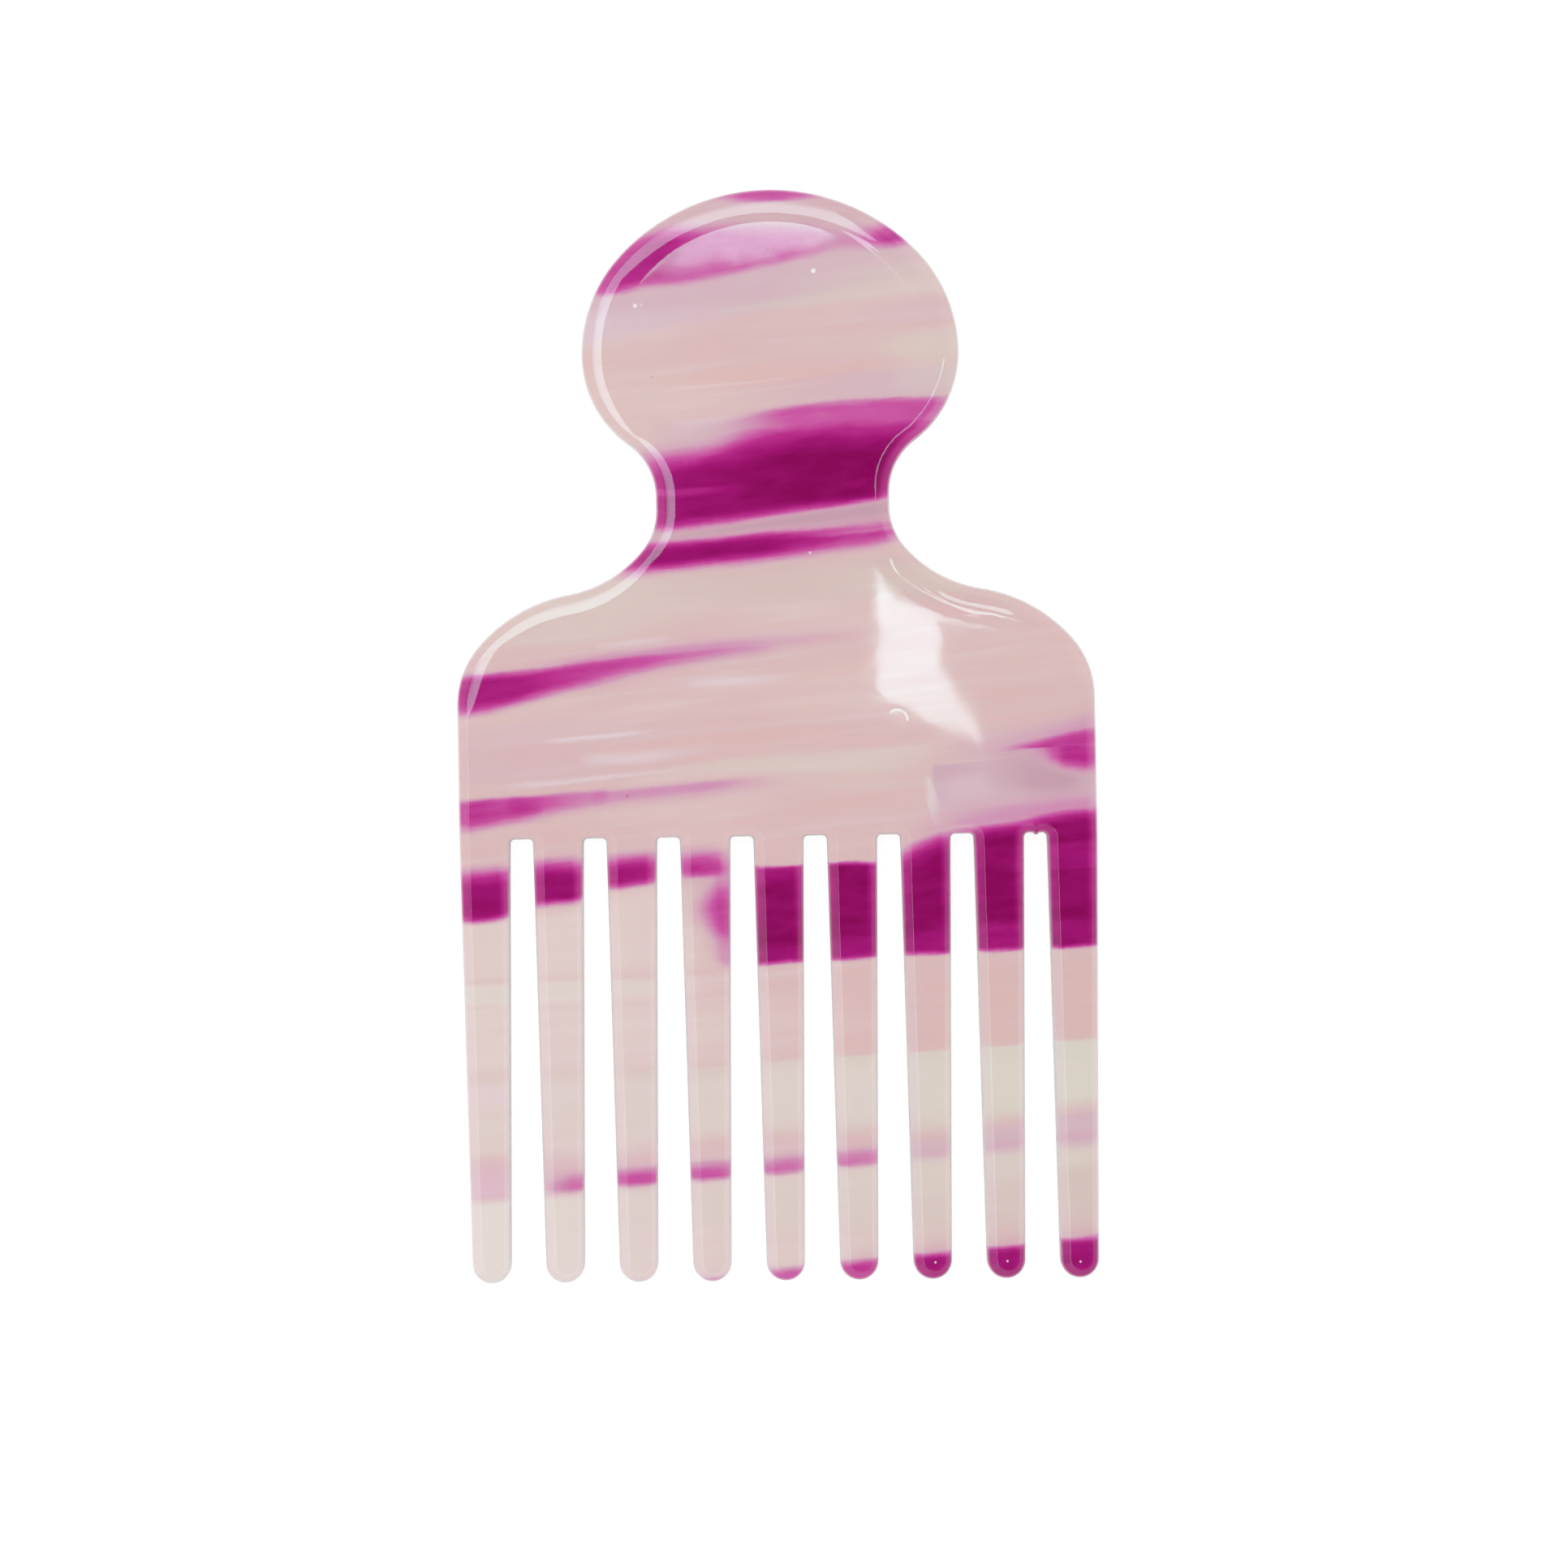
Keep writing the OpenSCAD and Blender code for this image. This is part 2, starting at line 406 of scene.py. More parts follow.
# How far a point moves up, because the row of tips runs at a slight slant
def skewLift(x, y):
    growth = comb["skewGrowth"]
    share = sum(smooth((-y - start) / length) for start, length in growth) / len(growth)
    return share * comb["skew"] * (0.5 - x / comb["width"])


def addObject(name, data):
    added = bpy.data.objects.new(name, data)
    bpy.context.scene.collection.objects.link(added)
    return added


def buildSheet():
    loop, normals = combOutline()
    count = len(loop)
    width = edge["facet"] - edge["facetLean"] * normals[:, 0]
    rings = ringDepths(width)
    inner = loop - normals * rings[-1][:, None]
    fill = fillPoints(loop, normals, inner)

    # The points of one side. Those of the filling have no facet, so its width there is below zero.
    fillDepth, fillWay = nearestEdge(fill, loop)
    flat = np.concatenate([loop - normals * ring[:, None] for ring in rings] + [fill])
    depth = np.concatenate(rings + [fillDepth])
    outward = np.concatenate([normals] * len(rings) + [fillWay])
    widths = np.concatenate([width] * len(rings) + [np.full(len(fill), -1.0)])
    upper = comb["thickness"] - upperDrop(flat, depth, widths)
    lower = lowerDrop(flat, depth, widths)
    upperLook = faceNormals(upperDrop, flat, depth, widths, outward)
    lowerLook = faceNormals(lowerDrop, flat, depth, widths, outward) * [1, 1, -1]
    wallLook = np.column_stack([normals, np.zeros(count)])

    # The points of the mesh: the middle of the wall, then the upper side's, then the lower side's
    looks = np.concatenate([wallLook, upperLook, lowerLook])
    x, y = np.concatenate([loop, flat, flat]).T
    z = np.concatenate([np.full(count, comb["thickness"] / 2), upper, lower])
    past = depth - widths
    values = {
        "edgeDepth": np.concatenate([np.zeros(count), depth, depth]),
        "pastFacet": np.concatenate([np.full(count, -edge["facet"]), past, past]),
        "curlShare": curlShare(x, y) * (z > comb["thickness"] / 2),
    }
    places = np.column_stack([x, y + skewLift(x, y), z]) * mm
    faces = sheetFaces(count, len(rings), len(flat), fillTriangles(inner, fill))
    mesh = bpy.data.meshes.new("combSheet")
    mesh.from_pydata([tuple(p) for p in places], [], faces)
    mesh.shade_smooth()
    mesh.normals_split_custom_set_from_vertices([tuple(n) for n in looks])
    for name, value in values.items():
        mesh.attributes.new(name, "FLOAT", "POINT").data.foreach_set("value", value.astype(np.float32))
    return addObject("combSheet", mesh)


sheet = buildSheet()
print("sheet built:", len(sheet.data.vertices), "points,", len(sheet.data.polygons), "faces")

acetate = {
    "rise": 6.0,  # degrees by which the streaks climb to the right
    "lean": 0.25,  # shift of the pattern for each millimetre down through the sheet
    "sway": 0.9,  # how far slow noise bends the streaks
    "fray": 0.45,  # and fine noise frays their edges
    "fuzz": 0.14,  # and noise across them softens these
    "cloud": (0.92, 1.06),  # least and most dye where it is cloudy, as shares
    "covering": 0.2,  # dye from which the ground no longer shows
    "scuffs": (0.35, 5),  # scale and detail of the noise that dulls the polish
    "scuffSpan": (0.35, 0.75),  # levels of that noise
    "roughness": (0.022, 0.044),  # at those two levels
    "ripples": (0.7, 3),  # scale and detail
    "rippleHeight": 8e-7,  # metres
    "refraction": 1.49,
    "subsurface": 0.3,
    "spread": (1.2, 0.6, 0.8),  # how far red, green and blue light spread in the sheet
}

# Noise drawn out along the streaks: waves to the millimetre along x, y and z, then detail and seed
grains = {
    "sway": ((0.05, 0.2, 0.1), 1, 3.0),
    "fray": ((0.2, 1.6, 0.5), 3, 11.0),
    "fuzz": ((1.5, 0.25, 0.5), 2, 15.0),
    "broad": ((0.04, 0.2, 0.1), 3, 21.0),
    "fine": ((0.06, 1.1, 0.2), 4, 31.0),
    "cloud": ((0.25, 0.9, 0.4), 3, 41.0),
}
noiseSpan = (0.3, 0.7)  # most noise lies between these

# How the polished edge changes the colour. Most of this is painted light: the paleness of light that
# comes through the thin edge, a painted highlight line on the teeth and one along the curl. Four values
# are a ramp: the effect goes from the third to the fourth as its measure goes from the first to the second.
thinEdge = {
    "teeth": (-16.0, -24.0, 0, 1),  # of the level: how much a place belongs to the teeth
    "dyeKept": (0, 1, 0.8, 0.95),  # of that: the dye that each of the next two steps leaves
    "dyeSteps": ((1.3, 0.75), (0.6, 0.0)),  # depths inside the outline between which it gives way
    "undyed": (0.3, 0.06, 0.1, 1),  # of the dye
    # painted light that the thin facets of the teeth let through
    "paintedFacetLight": (0.04, -0.14, 0, 0.24),  # of the distance past the facet
    # painted highlight line at the inner edge of the teeth's facets
    "facetHighlight": (0.12, 0.02, 0, 0.12),  # of the distance from the facet's inner edge
    # painted light along the outermost rounded edge
    "paintedRimLight": (0.3, 0.0, 0, 0.8),  # of the depth inside the outline
    "rimUndyed": (0.1, 1, 0.6, 1),  # of the undyed share: how much of the rim shows
    # painted highlight along the curl
    "curl": (0.1, 0.6, 0, 0.9),  # of the curl's own depth
}

ground = {
    "rose": (0.695, 0.495, 0.495), "cream": (0.735, 0.60, 0.565), "pearl": (0.775, 0.71, 0.67),
    "sage": (0.69, 0.64, 0.565), "lilac": (0.64, 0.455, 0.535), "mauve": (0.57, 0.35, 0.43),
    "peach": (0.71, 0.475, 0.45), "clay": (0.645, 0.46, 0.45), "milk": (0.76, 0.655, 0.69),
    "blush": (0.745, 0.505, 0.62), "white": (0.86, 0.82, 0.82), "soot": (0.30, 0.24, 0.22),
    "wine": (0.42, 0.06, 0.20),
}

# Clouds over the rose: a noise, the levels between which a colour comes in, and its share
groundClouds = [
    ("broad", 0.42, 0.66, 0.35, "cream"),
    ("fine", 0.5, 0.7, 0.2, "milk"),
    ("fine", 0.47, 0.3, 0.4, "peach"),
]

# Dye from the palest to the deepest
dyeColours = {
    0.0: (0.66, 0.46, 0.50),
    0.2: (0.64, 0.33, 0.48),
    0.4: (0.60, 0.108, 0.38),
    0.6: (0.49, 0.03, 0.262),
    0.8: (0.365, 0.008, 0.178),
    1.0: (0.255, 0.0022, 0.101),
}

# A streak has the blur of its upper and lower edges, and then a few places along the comb:
# (x, upper edge, lower edge, amount)
magentaStreaks = {
    "headWedge": ((2.8, 1.9), [
        (-22, 53.4, 47.9, 0.7), (-17, 54.6, 48.9, 0.64), (-13, 55.3, 49.6, 0.52), (-9, 55.9, 49.8, 0.44),
        (-2, 56, 50.9, 0.4), (4, 55.8, 52.2, 0.37), (8, 55.4, 53, 0.24), (11, 55.6, 53.3, 0.36),
        (13, 56.2, 53.5, 0.6), (15, 56.8, 53.7, 0.8), (21, 58, 54.3, 0.86)]),
    "headRim": ((0.1, 1.3), [
        (-13, 61.5, 59, 0), (-8, 61.5, 58.9, 0.22), (-4, 61.5, 58.85, 0.46), (-1, 61.5, 58.8, 0.62),
        (3, 61.5, 58.8, 0.54), (7, 61.5, 58.8, 0.3), (12, 61.5, 58.7, 0)]),
    "neckVeil": ((1.5, 2.5), [
        (-11, 33.6, 29, 0), (-6, 34.6, 30, 0.1), (-2, 35.4, 30, 0.24), (2, 36, 30, 0.38),
        (6, 36.3, 30, 0.4), (12, 36.6, 30, 0.42), (18, 36.7, 30, 0.44), (22, 36.8, 30, 0.46)]),
    "neckGlow": ((4.8, 2.4), [
        (-17, 29.8, 22.6, 0.7), (-11, 30.8, 23, 0.72), (-6, 31.8, 23.7, 0.74), (-2, 33.4, 24.3, 0.74),
        (2, 34.2, 25.1, 0.74), (8, 34.8, 25.6, 0.75), (12.6, 34.8, 26.1, 0.75), (20, 34.6, 26.8, 0.74)]),
    "lowBand": ((2, 2.3), [
        (-18, 20.9, 17.9, 0.64), (-11.6, 21.3, 18.5, 0.68), (-2.4, 22, 19.3, 0.67), (3, 22.5, 19.9, 0.62),
        (9, 23, 20.7, 0.55), (16, 23.5, 21.8, 0.5)]),
    "leftWedge": ((1.5, 2.3), [
        (-36, 6.8, 2.8, 0.76), (-30.7, 7.2, 3.7, 0.78), (-27, 7.5, 4.5, 0.71), (-23.5, 8, 5.35, 0.61),
        (-18.4, 8.65, 6.5, 0.53), (-15, 8.95, 7.25, 0.48), (-11, 9.3, 7.9, 0.43), (-6, 9.8, 8.6, 0.35),
        (-2, 10.1, 9, 0.26), (4, 10.8, 10, 0)]),
    "leftWedgeFringe": ((2.2, 2.4), [
        (-30, 7.6, 4, 0), (-22, 8.8, 5.4, 0.24), (-12, 9.9, 7.6, 0.26), (-4, 10.7, 9, 0.22),
        (6, 11.4, 10.3, 0.14), (14, 11.8, 10.9, 0)]),
    "midWedge": ((1.1, 2.4), [
        (-36, -6.7, -10.1, 0.6), (-31, -6.2, -9.2, 0.54), (-27, -5.9, -8.6, 0.46),
        (-23, -5.6, -7.9, 0.34), (-16, -5.3, -7.1, 0.23), (-9, -4.9, -6.55, 0.23), (-4, -4.6, -6, 0.17),
        (2, -4.3, -5.2, 0)]),
    "rightWedge": ((1.7, 0.6), [
        (21, -1.9, -2.3, 0), (25, -1.6, -2.1, 0.24), (28.7, -1, -2, 0.46), (31.5, -0.4, -1.8, 0.53),
        (36, 0.5, -1.6, 0.55)]),
    "rightWedgeHaze": ((3.6, 1.4), [
        (18, -0.8, -2.6, 0), (26, 0, -2.6, 0.14), (31, 1, -2.4, 0.2), (36, 2.2, -2.2, 0.24)]),
    "rightWedgeLow": ((0.8, 2.4), [
        (25, -1.9, -3, 0), (28.6, -1.8, -3.4, 0.2), (30.5, -1.7, -3.8, 0.44), (33, -1.6, -4.1, 0.63),
        (36, -1.5, -4.3, 0.6)]),
    "aboveBand": ((3, 1), [
        (12, -10, -14, 0), (18, -8.6, -14, 0.16), (26, -7.4, -12, 0.22), (36, -6.4, -12, 0.24)]),
    "bandMiddle": ((0.9, 1.1), [
        (-8, -14.4, -25.8, 0), (-4.3, -14.4, -25.5, 0), (-3.7, -14.4, -25.4, 0.95), (0, -14.3, -25, 0.97),
        (8, -14.15, -24.6, 0.97), (12, -14, -24.3, 0.95), (14.5, -13.6, -24.2, 0)]),
    "bandRise": ((3, 1), [
        (8, -14.6, -24.3, 0), (11.4, -14.4, -24.3, 0), (12.2, -14, -24.3, 0.93),
        (14.2, -12.7, -24.1, 0.95), (17.3, -11.4, -24, 0.97), (22, -10.6, -23.95, 0.98),
        (26.5, -10.1, -23.85, 0.98), (30.5, -9.1, -23.8, 0.96), (36, -8.5, -23.6, 0.93)]),
    "leftBand": ((3.2, 1.5), [
        (-36, -14.9, -19.8, 0.88), (-30, -14.5, -19.3, 0.88), (-26.6, -13.9, -18.2, 0.88),
        (-21.9, -13.6, -17.7, 0.86), (-18.6, -13.3, -16.6, 0.82), (-13.8, -13, -15.9, 0.76),
        (-10.5, -12.8, -15.3, 0.62), (-7.2, -12.8, -15.1, 0.56), (-5.8, -12.8, -15, 0.42),
        (-4.6, -12.8, -14.9, 0.34), (-4.1, -12.8, -14.9, 0), (0, -12.8, -14.9, 0)]),
    "thinBand": ((2.4, 1), [
        (-29, -48.4, -49.9, 0), (-25, -47.8, -49.6, 0.22), (-22, -47.5, -49.4, 0.38),
        (-16, -47.2, -49, 0.44), (-8, -46.75, -48.5, 0.41), (0, -46.1, -47.7, 0.36),
        (8, -45.35, -47.1, 0.31), (11.6, -44.9, -46.8, 0.27), (13, -44.6, -46.3, 0)]),
    "thinLine": ((1.1, 0.8), [
        (12, -45.4, -46.7, 0), (13.6, -45.3, -46.5, 0.08), (18, -45, -46.1, 0.08),
        (26, -44.4, -45.4, 0.12), (36, -43.5, -44.7, 0.1)]),
    "tips": ((1.5, 0.5), [
        (-21, -59.9, -64, 0), (-16, -59.8, -64, 0.3), (-8, -59.4, -64, 0.42), (0, -58.5, -64, 0.46),
        (8, -57.8, -64, 0.57), (16, -57.2, -64, 0.76), (24, -56.6, -64, 0.81), (32, -55.75, -64, 0.82),
        (36, -55.4, -64, 0.82)]),
    "tipHaze": ((2.4, 0.5), [
        (4, -56.8, -64, 0), (10, -56.2, -64, 0.1), (24, -55.4, -64, 0.12), (36, -54.6, -64, 0.14)]),
}

# Deeper places that build on the dye under them
deeperStreaks = {
    "headCore": ((1.8, 2.2), [
        (-18, 53, 50, 0.05), (-15, 53.6, 50.3, 0.14), (-13, 54.3, 51.2, 0.36), (-11.5, 54.8, 52, 0.42),
        (-9.5, 55.2, 53.2, 0.2), (-7, 55.6, 54.2, 0)]),
    "veilRim": ((0.5, 1.2), [
        (-3, 35.1, 34.6, 0), (1, 35.8, 35.2, 0.1), (5, 36.4, 35.8, 0.12), (18, 36.9, 36.2, 0.12),
        (22, 37, 36.3, 0.1)]),
    "neckCore": ((2.8, 2.2), [
        (-16, 27.8, 22.6, 0.1), (-11.5, 28.6, 23.2, 0.48), (-6, 29.9, 24, 0.6), (-1, 30.9, 24.6, 0.8),
        (4, 31.8, 25.1, 0.94), (7, 32.1, 25.4, 0.97), (12.5, 31.9, 26, 0.86), (17, 31.4, 26.5, 0.5)]),
    "lowBandCore": ((1.4, 1.4), [
        (-17, 20.6, 18.4, 0.45), (-10, 20.9, 19, 0.68), (-2, 21.6, 19.8, 0.58), (3, 22, 20.5, 0.28),
        (8, 22.3, 21.2, 0)]),
    "wedgeSpots": ((1.2, 1.6), [
        (-30, -6.2, -8.4, 0), (-28, -6.1, -8.4, 0.16), (-26.4, -6.1, -8.2, 0.14), (-25.2, -6, -7.4, 0),
        (-21, -5.6, -6.9, 0), (-19.4, -5.4, -6.9, 0.1), (-18, -5.3, -6.6, 0), (-15, -5, -6, 0)]),
    "rightThread": ((0.3, 0.3), [
        (24, -2.1, -2.3, 0), (27, -1.95, -2.15, 0.2), (30, -1.75, -1.95, 0.3), (36, -1.45, -1.65, 0.3)]),
    "fourthPatch": ((3.6, 3.6), [
        (-10.4, -17.8, -20, 0), (-9.2, -17.6, -20.2, 0.14), (-8, -17.2, -20.6, 0.28),
        (-6.6, -16.8, -21.2, 0.4), (-5.4, -16.6, -21.5, 0.48), (-4.6, -16.6, -21.5, 0.48),
        (-4.1, -16.6, -21.4, 0), (0, -16, -21, 0)]),
    "fourthPatchTail": ((3, 2.4), [
        (-8.8, -15.2, -24, 0), (-7.6, -14.8, -24.6, 0.1), (-6.4, -14.5, -25.2, 0.25),
        (-5.4, -14.4, -25.6, 0.33), (-4.6, -14.4, -25.7, 0.33), (-4.1, -14.4, -25.3, 0),
        (0, -14, -25, 0)]),
}

# Paler places inside the magenta, each taking a share of the dye away
clearings = {
    "neckThread": ((0.5, 0.6), [(-14, 26.9, 26.1, 0.22), (-8, 27.2, 26.5, 0.18), (-2, 27.6, 27, 0)]),
    "lowBandThreads": ((0.4, 0.4), [
        (1, 21.9, 21.5, 0), (5, 22.2, 21.7, 0.18), (10, 22.6, 22.2, 0.28), (16, 23, 22.6, 0.24)]),
    "ninthTooth": ((0.8, 0.3), [(24, -12.4, -15.4, 0), (28, -12.3, -15.3, 0.12), (36, -12, -14.9, 0.14)]),
    "bandFoot": ((1.8, 0.2), [
        (-5, -23.2, -27, 0.15), (4, -22.9, -27, 0.16), (12, -22.2, -27, 0.16), (20, -21.4, -27, 0.2),
        (28, -20.8, -27, 0.18), (29.5, -20.8, -27, 0.08)]),
    "seventhTooth": ((0.5, 1.6), [
        (10, -9, -14.6, 0), (12.5, -9, -14.6, 0.18), (16, -9, -13.6, 0.16), (20, -9, -12, 0)]),
    "fifthTooth": ((0.2, 2.2), [
        (-8, -13, -16, 0), (-4, -13, -16, 0.2), (0, -13, -15.6, 0.24), (3, -13, -15.2, 0.1),
        (6, -13, -15, 0)]),
}

# Tints of the pale ground, in the order in which they are laid
groundTints = [
    ("lilac", (3, 2), [
        (-24, 50, 42.6, 0.75), (-10, 51, 45.3, 0.7), (0, 53, 46.8, 0.68), (10, 55, 49, 0.6),
        (24, 57, 52, 0.3)]),
    ("mauve", (2, 1.5), [
        (-18, 63, 54.5, 0.25), (-6, 63, 55, 0.42), (6, 63, 55.4, 0.42), (20, 63, 56, 0.25)]),
    ("milk", (2, 2), [(-24, 46.5, 42.5, 0.35), (-12, 47, 44, 0.25), (-2, 48, 45.5, 0)]),
    ("sage", (2, 3), [(0, 50, 47, 0), (12, 51.5, 48, 0.3), (24, 53, 48, 0.4)]),
    ("sage", (1, 1.2), [(-8, 46.6, 46, 0), (0, 47.8, 46.8, 0.35), (8, 48.8, 47.4, 0.3), (16, 50, 48, 0)]),
    ("lilac", (1.5, 2), [(8, 47, 44.5, 0), (14, 47.6, 45, 0.3), (24, 48, 45, 0.4)]),
    ("sage", (1.5, 1.5), [
        (-4, 42, 40.5, 0), (8, 43.4, 41.6, 0.16), (18, 44.5, 41.5, 0.34), (24, 45, 41.5, 0.34)]),
    ("lilac", (1.2, 1.8), [
        (-8, 37.6, 36, 0), (4, 39.2, 36.4, 0.45), (14, 40, 36.6, 0.65), (24, 40.4, 36.8, 0.55)]),
    ("sage", (2, 2), [(12, 43, 37.6, 0), (18, 43.4, 37.6, 0.35), (24, 43.6, 37.4, 0.4)]),
    ("peach", (0.8, 1.2), [
        (-14, 39, 37.4, 0), (-6, 39.8, 38.2, 0.6), (6, 40.4, 39, 0.55), (15, 41, 40, 0)]),
    ("peach", (0.4, 0.5), [
        (-16, 36.6, 36.2, 0.1), (-8, 37.4, 36.9, 0.5), (4, 38.4, 38, 0.4), (12, 39, 38.7, 0)]),
    ("milk", (0.3, 0.3), [
        (-13, 37.9, 37.7, 0), (-7, 38.5, 38.2, 0.45), (0, 39.1, 38.9, 0.3), (6, 39.6, 39.4, 0)]),
    ("milk", (0.3, 0.3), [
        (-12, 36.9, 36.7, 0), (-5, 37.6, 37.4, 0.35), (2, 38.2, 38, 0.2), (8, 38.7, 38.5, 0)]),
    ("cream", (3, 3), [(-24, 40, 32, 0.4), (-12, 41, 33, 0.3), (-4, 41, 35, 0.1), (2, 41, 36, 0)]),
    ("lilac", (0.5, 2.5), [
        (-14, 34.2, 31, 0), (-9, 34.7, 31.2, 0.5), (-5, 35.1, 32, 0.55), (-1, 35.4, 33.5, 0.3),
        (2, 35.5, 34, 0)]),
    ("milk", (0.3, 1), [
        (-12, 34.4, 33.4, 0), (-7, 35, 33.9, 0.35), (-3, 35.3, 34.4, 0.25), (1, 35.5, 35, 0)]),
    ("mauve", (0.9, 0.9), [
        (-17, 22.8, 20.8, 0.5), (-4, 24, 21.6, 0.95), (6, 25.4, 22.6, 1), (18, 26.4, 23.4, 0.85)]),
    ("clay", (2, 2), [
        (-14, 17.6, 14.6, 0.3), (0, 19, 14.6, 0.6), (14, 20, 14.6, 0.6), (30, 16, 11, 0.2)]),
    ("sage", (2.5, 3), [
        (-30, 15.5, 10, 0.3), (-20, 17.5, 10.5, 0.42), (-10, 18, 12.5, 0.3), (2, 18.5, 13.5, 0.2),
        (10, 19, 15, 0.35), (20, 19, 15, 0.4)]),
    ("cream", (1.5, 2), [(-4, 4, 1.5, 0), (6, 4.6, 2, 0.25), (16, 5.5, 3, 0)]),
    ("milk", (0.8, 1), [(-10, 6.2, 5.4, 0), (-6, 6.5, 5.5, 0.6), (-2, 6.7, 5.7, 0.45), (3, 7, 6.5, 0)]),
    ("lilac", (1.2, 1.5), [
        (-36, 1.5, -4.5, 0.3), (-26, 2, -4.6, 0.25), (-14, 2, -3, 0.1), (-8, 2, -3, 0)]),
    ("milk", (0.8, 1.2), [
        (-22, -1.6, -2.6, 0), (-17, -1.2, -2.6, 0.6), (-11, -0.8, -2, 0.4), (-5, -0.2, -1.2, 0)]),
    ("milk", (0.4, 0.6), [
        (-26, -0.1, -0.4, 0), (-20, 0.35, -0.1, 0.8), (-17, 0.6, 0.2, 0.7), (-13, 0.8, 0.5, 0)]),
    ("milk", (0.5, 0.5), [
        (-30, -4.6, -5.1, 0.1), (-24, -4.2, -4.7, 0.6), (-14, -3.4, -3.8, 0.5), (-7, -2.8, -3.1, 0)]),
    ("milk", (0.6, 0.6), [(-20, 10.2, 9.7, 0), (-16, 10.7, 10.1, 0.5), (-11, 11.1, 10.6, 0)]),
    ("peach", (1.2, 1), [
        (-22, -0.6, -2, 0.1), (-12, -0.1, -1.5, 0.5), (0, 0.8, -0.8, 0.45), (14, 1.4, 0, 0)]),
    ("sage", (1, 1.4), [
        (-18, -4, -4.8, 0), (-8, -2.8, -4, 0.35), (4, -1.8, -3.8, 0.5), (14, -1.2, -3.6, 0.35),
        (18, -1, -3, 0)]),
    ("sage", (1.5, 2), [(-2, -3, -5, 0), (8, -3, -6, 0.25), (15, -3, -6, 0.1), (20, -3, -6, 0)]),
    ("lilac", (2, 0.4), [(18, -0.8, -3, 0), (24, -0.4, -2.8, 0.5), (36, 1.8, -2, 0.8)]),
    ("lilac", (0.25, 2.5), [
        (12, -3.3, -8.6, 0), (16.7, -3.3, -8.6, 0), (17.2, -3.3, -8.6, 0.8), (25, -3, -8.2, 0.75),
        (36, -2.6, -8, 0.85)]),
    ("mauve", (0.3, 1.2), [
        (12, -3.4, -5, 0), (16.9, -3.4, -5.2, 0), (17.4, -3.4, -5.2, 0.4), (20, -3.3, -5, 0.3),
        (24, -3.2, -4.4, 0)]),
    ("milk", (1.6, 1.6), [
        (18, -4.8, -7, 0), (21, -4.8, -7.4, 0.16), (24.5, -5, -7, 0.08), (27, -5, -6.6, 0)]),
    ("mauve", (1.6, 2.4), [
        (22, -2.4, -6.4, 0), (26, -1.9, -6.6, 0.6), (31, -2.2, -7.2, 0.95), (33.5, -2.6, -6.8, 0.5),
        (36, -3, -6, 0.2)]),
    ("mauve", (2, 3), [
        (-12, -15.2, -19.5, 0), (-11, -15.2, -20, 0.3), (-6, -15, -21, 0.4), (-4.4, -15, -21, 0.1),
        (-2, -15, -20, 0)]),
    ("milk", (0.8, 1), [
        (12, -4.5, -6, 0), (15.8, -4.5, -6, 0), (16.4, -4.6, -7.8, 0.5), (16.9, -5.2, -9.4, 0.6),
        (17.4, -6.6, -10.3, 0.4), (18, -8.5, -10.4, 0)]),
    ("cream", (2, 2), [
        (-36, -20, -26.5, 0.6), (-24, -19, -26, 0.6), (-14, -16, -25, 0.4), (-6, -16, -24, 0)]),
    ("pearl", (2, 2), [
        (-36, -20, -26.5, 0.2), (-24, -19, -26, 0.35), (-14, -17, -25, 0.3), (-6, -16, -24, 0)]),
    ("blush", (0.9, 0.9), [(-36, -37.9, -40, 0.9), (-28, -37.7, -39.8, 0.75), (-27, -38, -39.6, 0)]),
    ("pearl", (0.8, 1.2), [
        (-36, -26.9, -29.2, 0.75), (-24, -26.5, -29, 0.65), (-14, -26.3, -28.8, 0.5),
        (-5, -26, -28.5, 0.1), (6, -26, -28, 0)]),
    ("sage", (0.9, 0.9), [
        (-36, -27.3, -29, 0.5), (-24, -26.7, -28.3, 0.5), (-14, -26.5, -28, 0.4), (-8, -26, -28, 0)]),
    ("pearl", (1.5, 3), [
        (-36, -29.2, -37, 0.55), (-20, -29, -36.5, 0.45), (0, -29, -35.5, 0.2), (12, -28, -35, 0)]),
    ("peach", (2.5, 0.4), [
        (-6, -30, -35.6, 0), (10, -28, -35.1, 0.2), (20, -26, -34.6, 0.35), (36, -25, -33.9, 0.45)]),
    ("clay", (2, 0.4), [(10, -26, -35.1, 0), (22, -24, -34.6, 0.05), (36, -23, -33.9, 0.25)]),
    ("sage", (0.5, 2.5), [
        (-36, -37, -43.5, 0.15), (-16, -36.2, -43, 0.4), (0, -35.7, -43, 0.6), (16, -34.8, -43.2, 0.85),
        (24, -34.4, -42.2, 0.95), (36, -33.8, -40.7, 1)]),
    ("lilac", (1.8, 1.2), [
        (11, -44.6, -47.4, 0), (13, -44.4, -47.2, 0.6), (20, -44, -46.6, 0.7), (27, -42.8, -45.9, 0.75),
        (36, -41.4, -45.4, 0.8)]),
    ("pearl", (2, 3), [
        (-36, -37.5, -46, 0.5), (-24, -37, -46, 0.45), (-10, -37, -44, 0.35), (6, -36, -43, 0.3),
        (20, -36, -41, 0.15)]),
    ("pearl", (1.2, 2), [
        (-36, -50.6, -64, 1), (-24, -49.8, -64, 0.8), (-12, -49, -61, 0.5), (4, -47, -60, 0.4),
        (20, -46, -55, 0.2)]),
    ("blush", (5, 2.4), [
        (-36, -47.7, -50.3, 0.95), (-24, -46.6, -49.8, 0.6), (-8, -45.6, -48.8, 0.4),
        (8, -44.2, -47.6, 0.3), (13, -43, -46.4, 0)]),
    ("blush", (1.5, 0.5), [
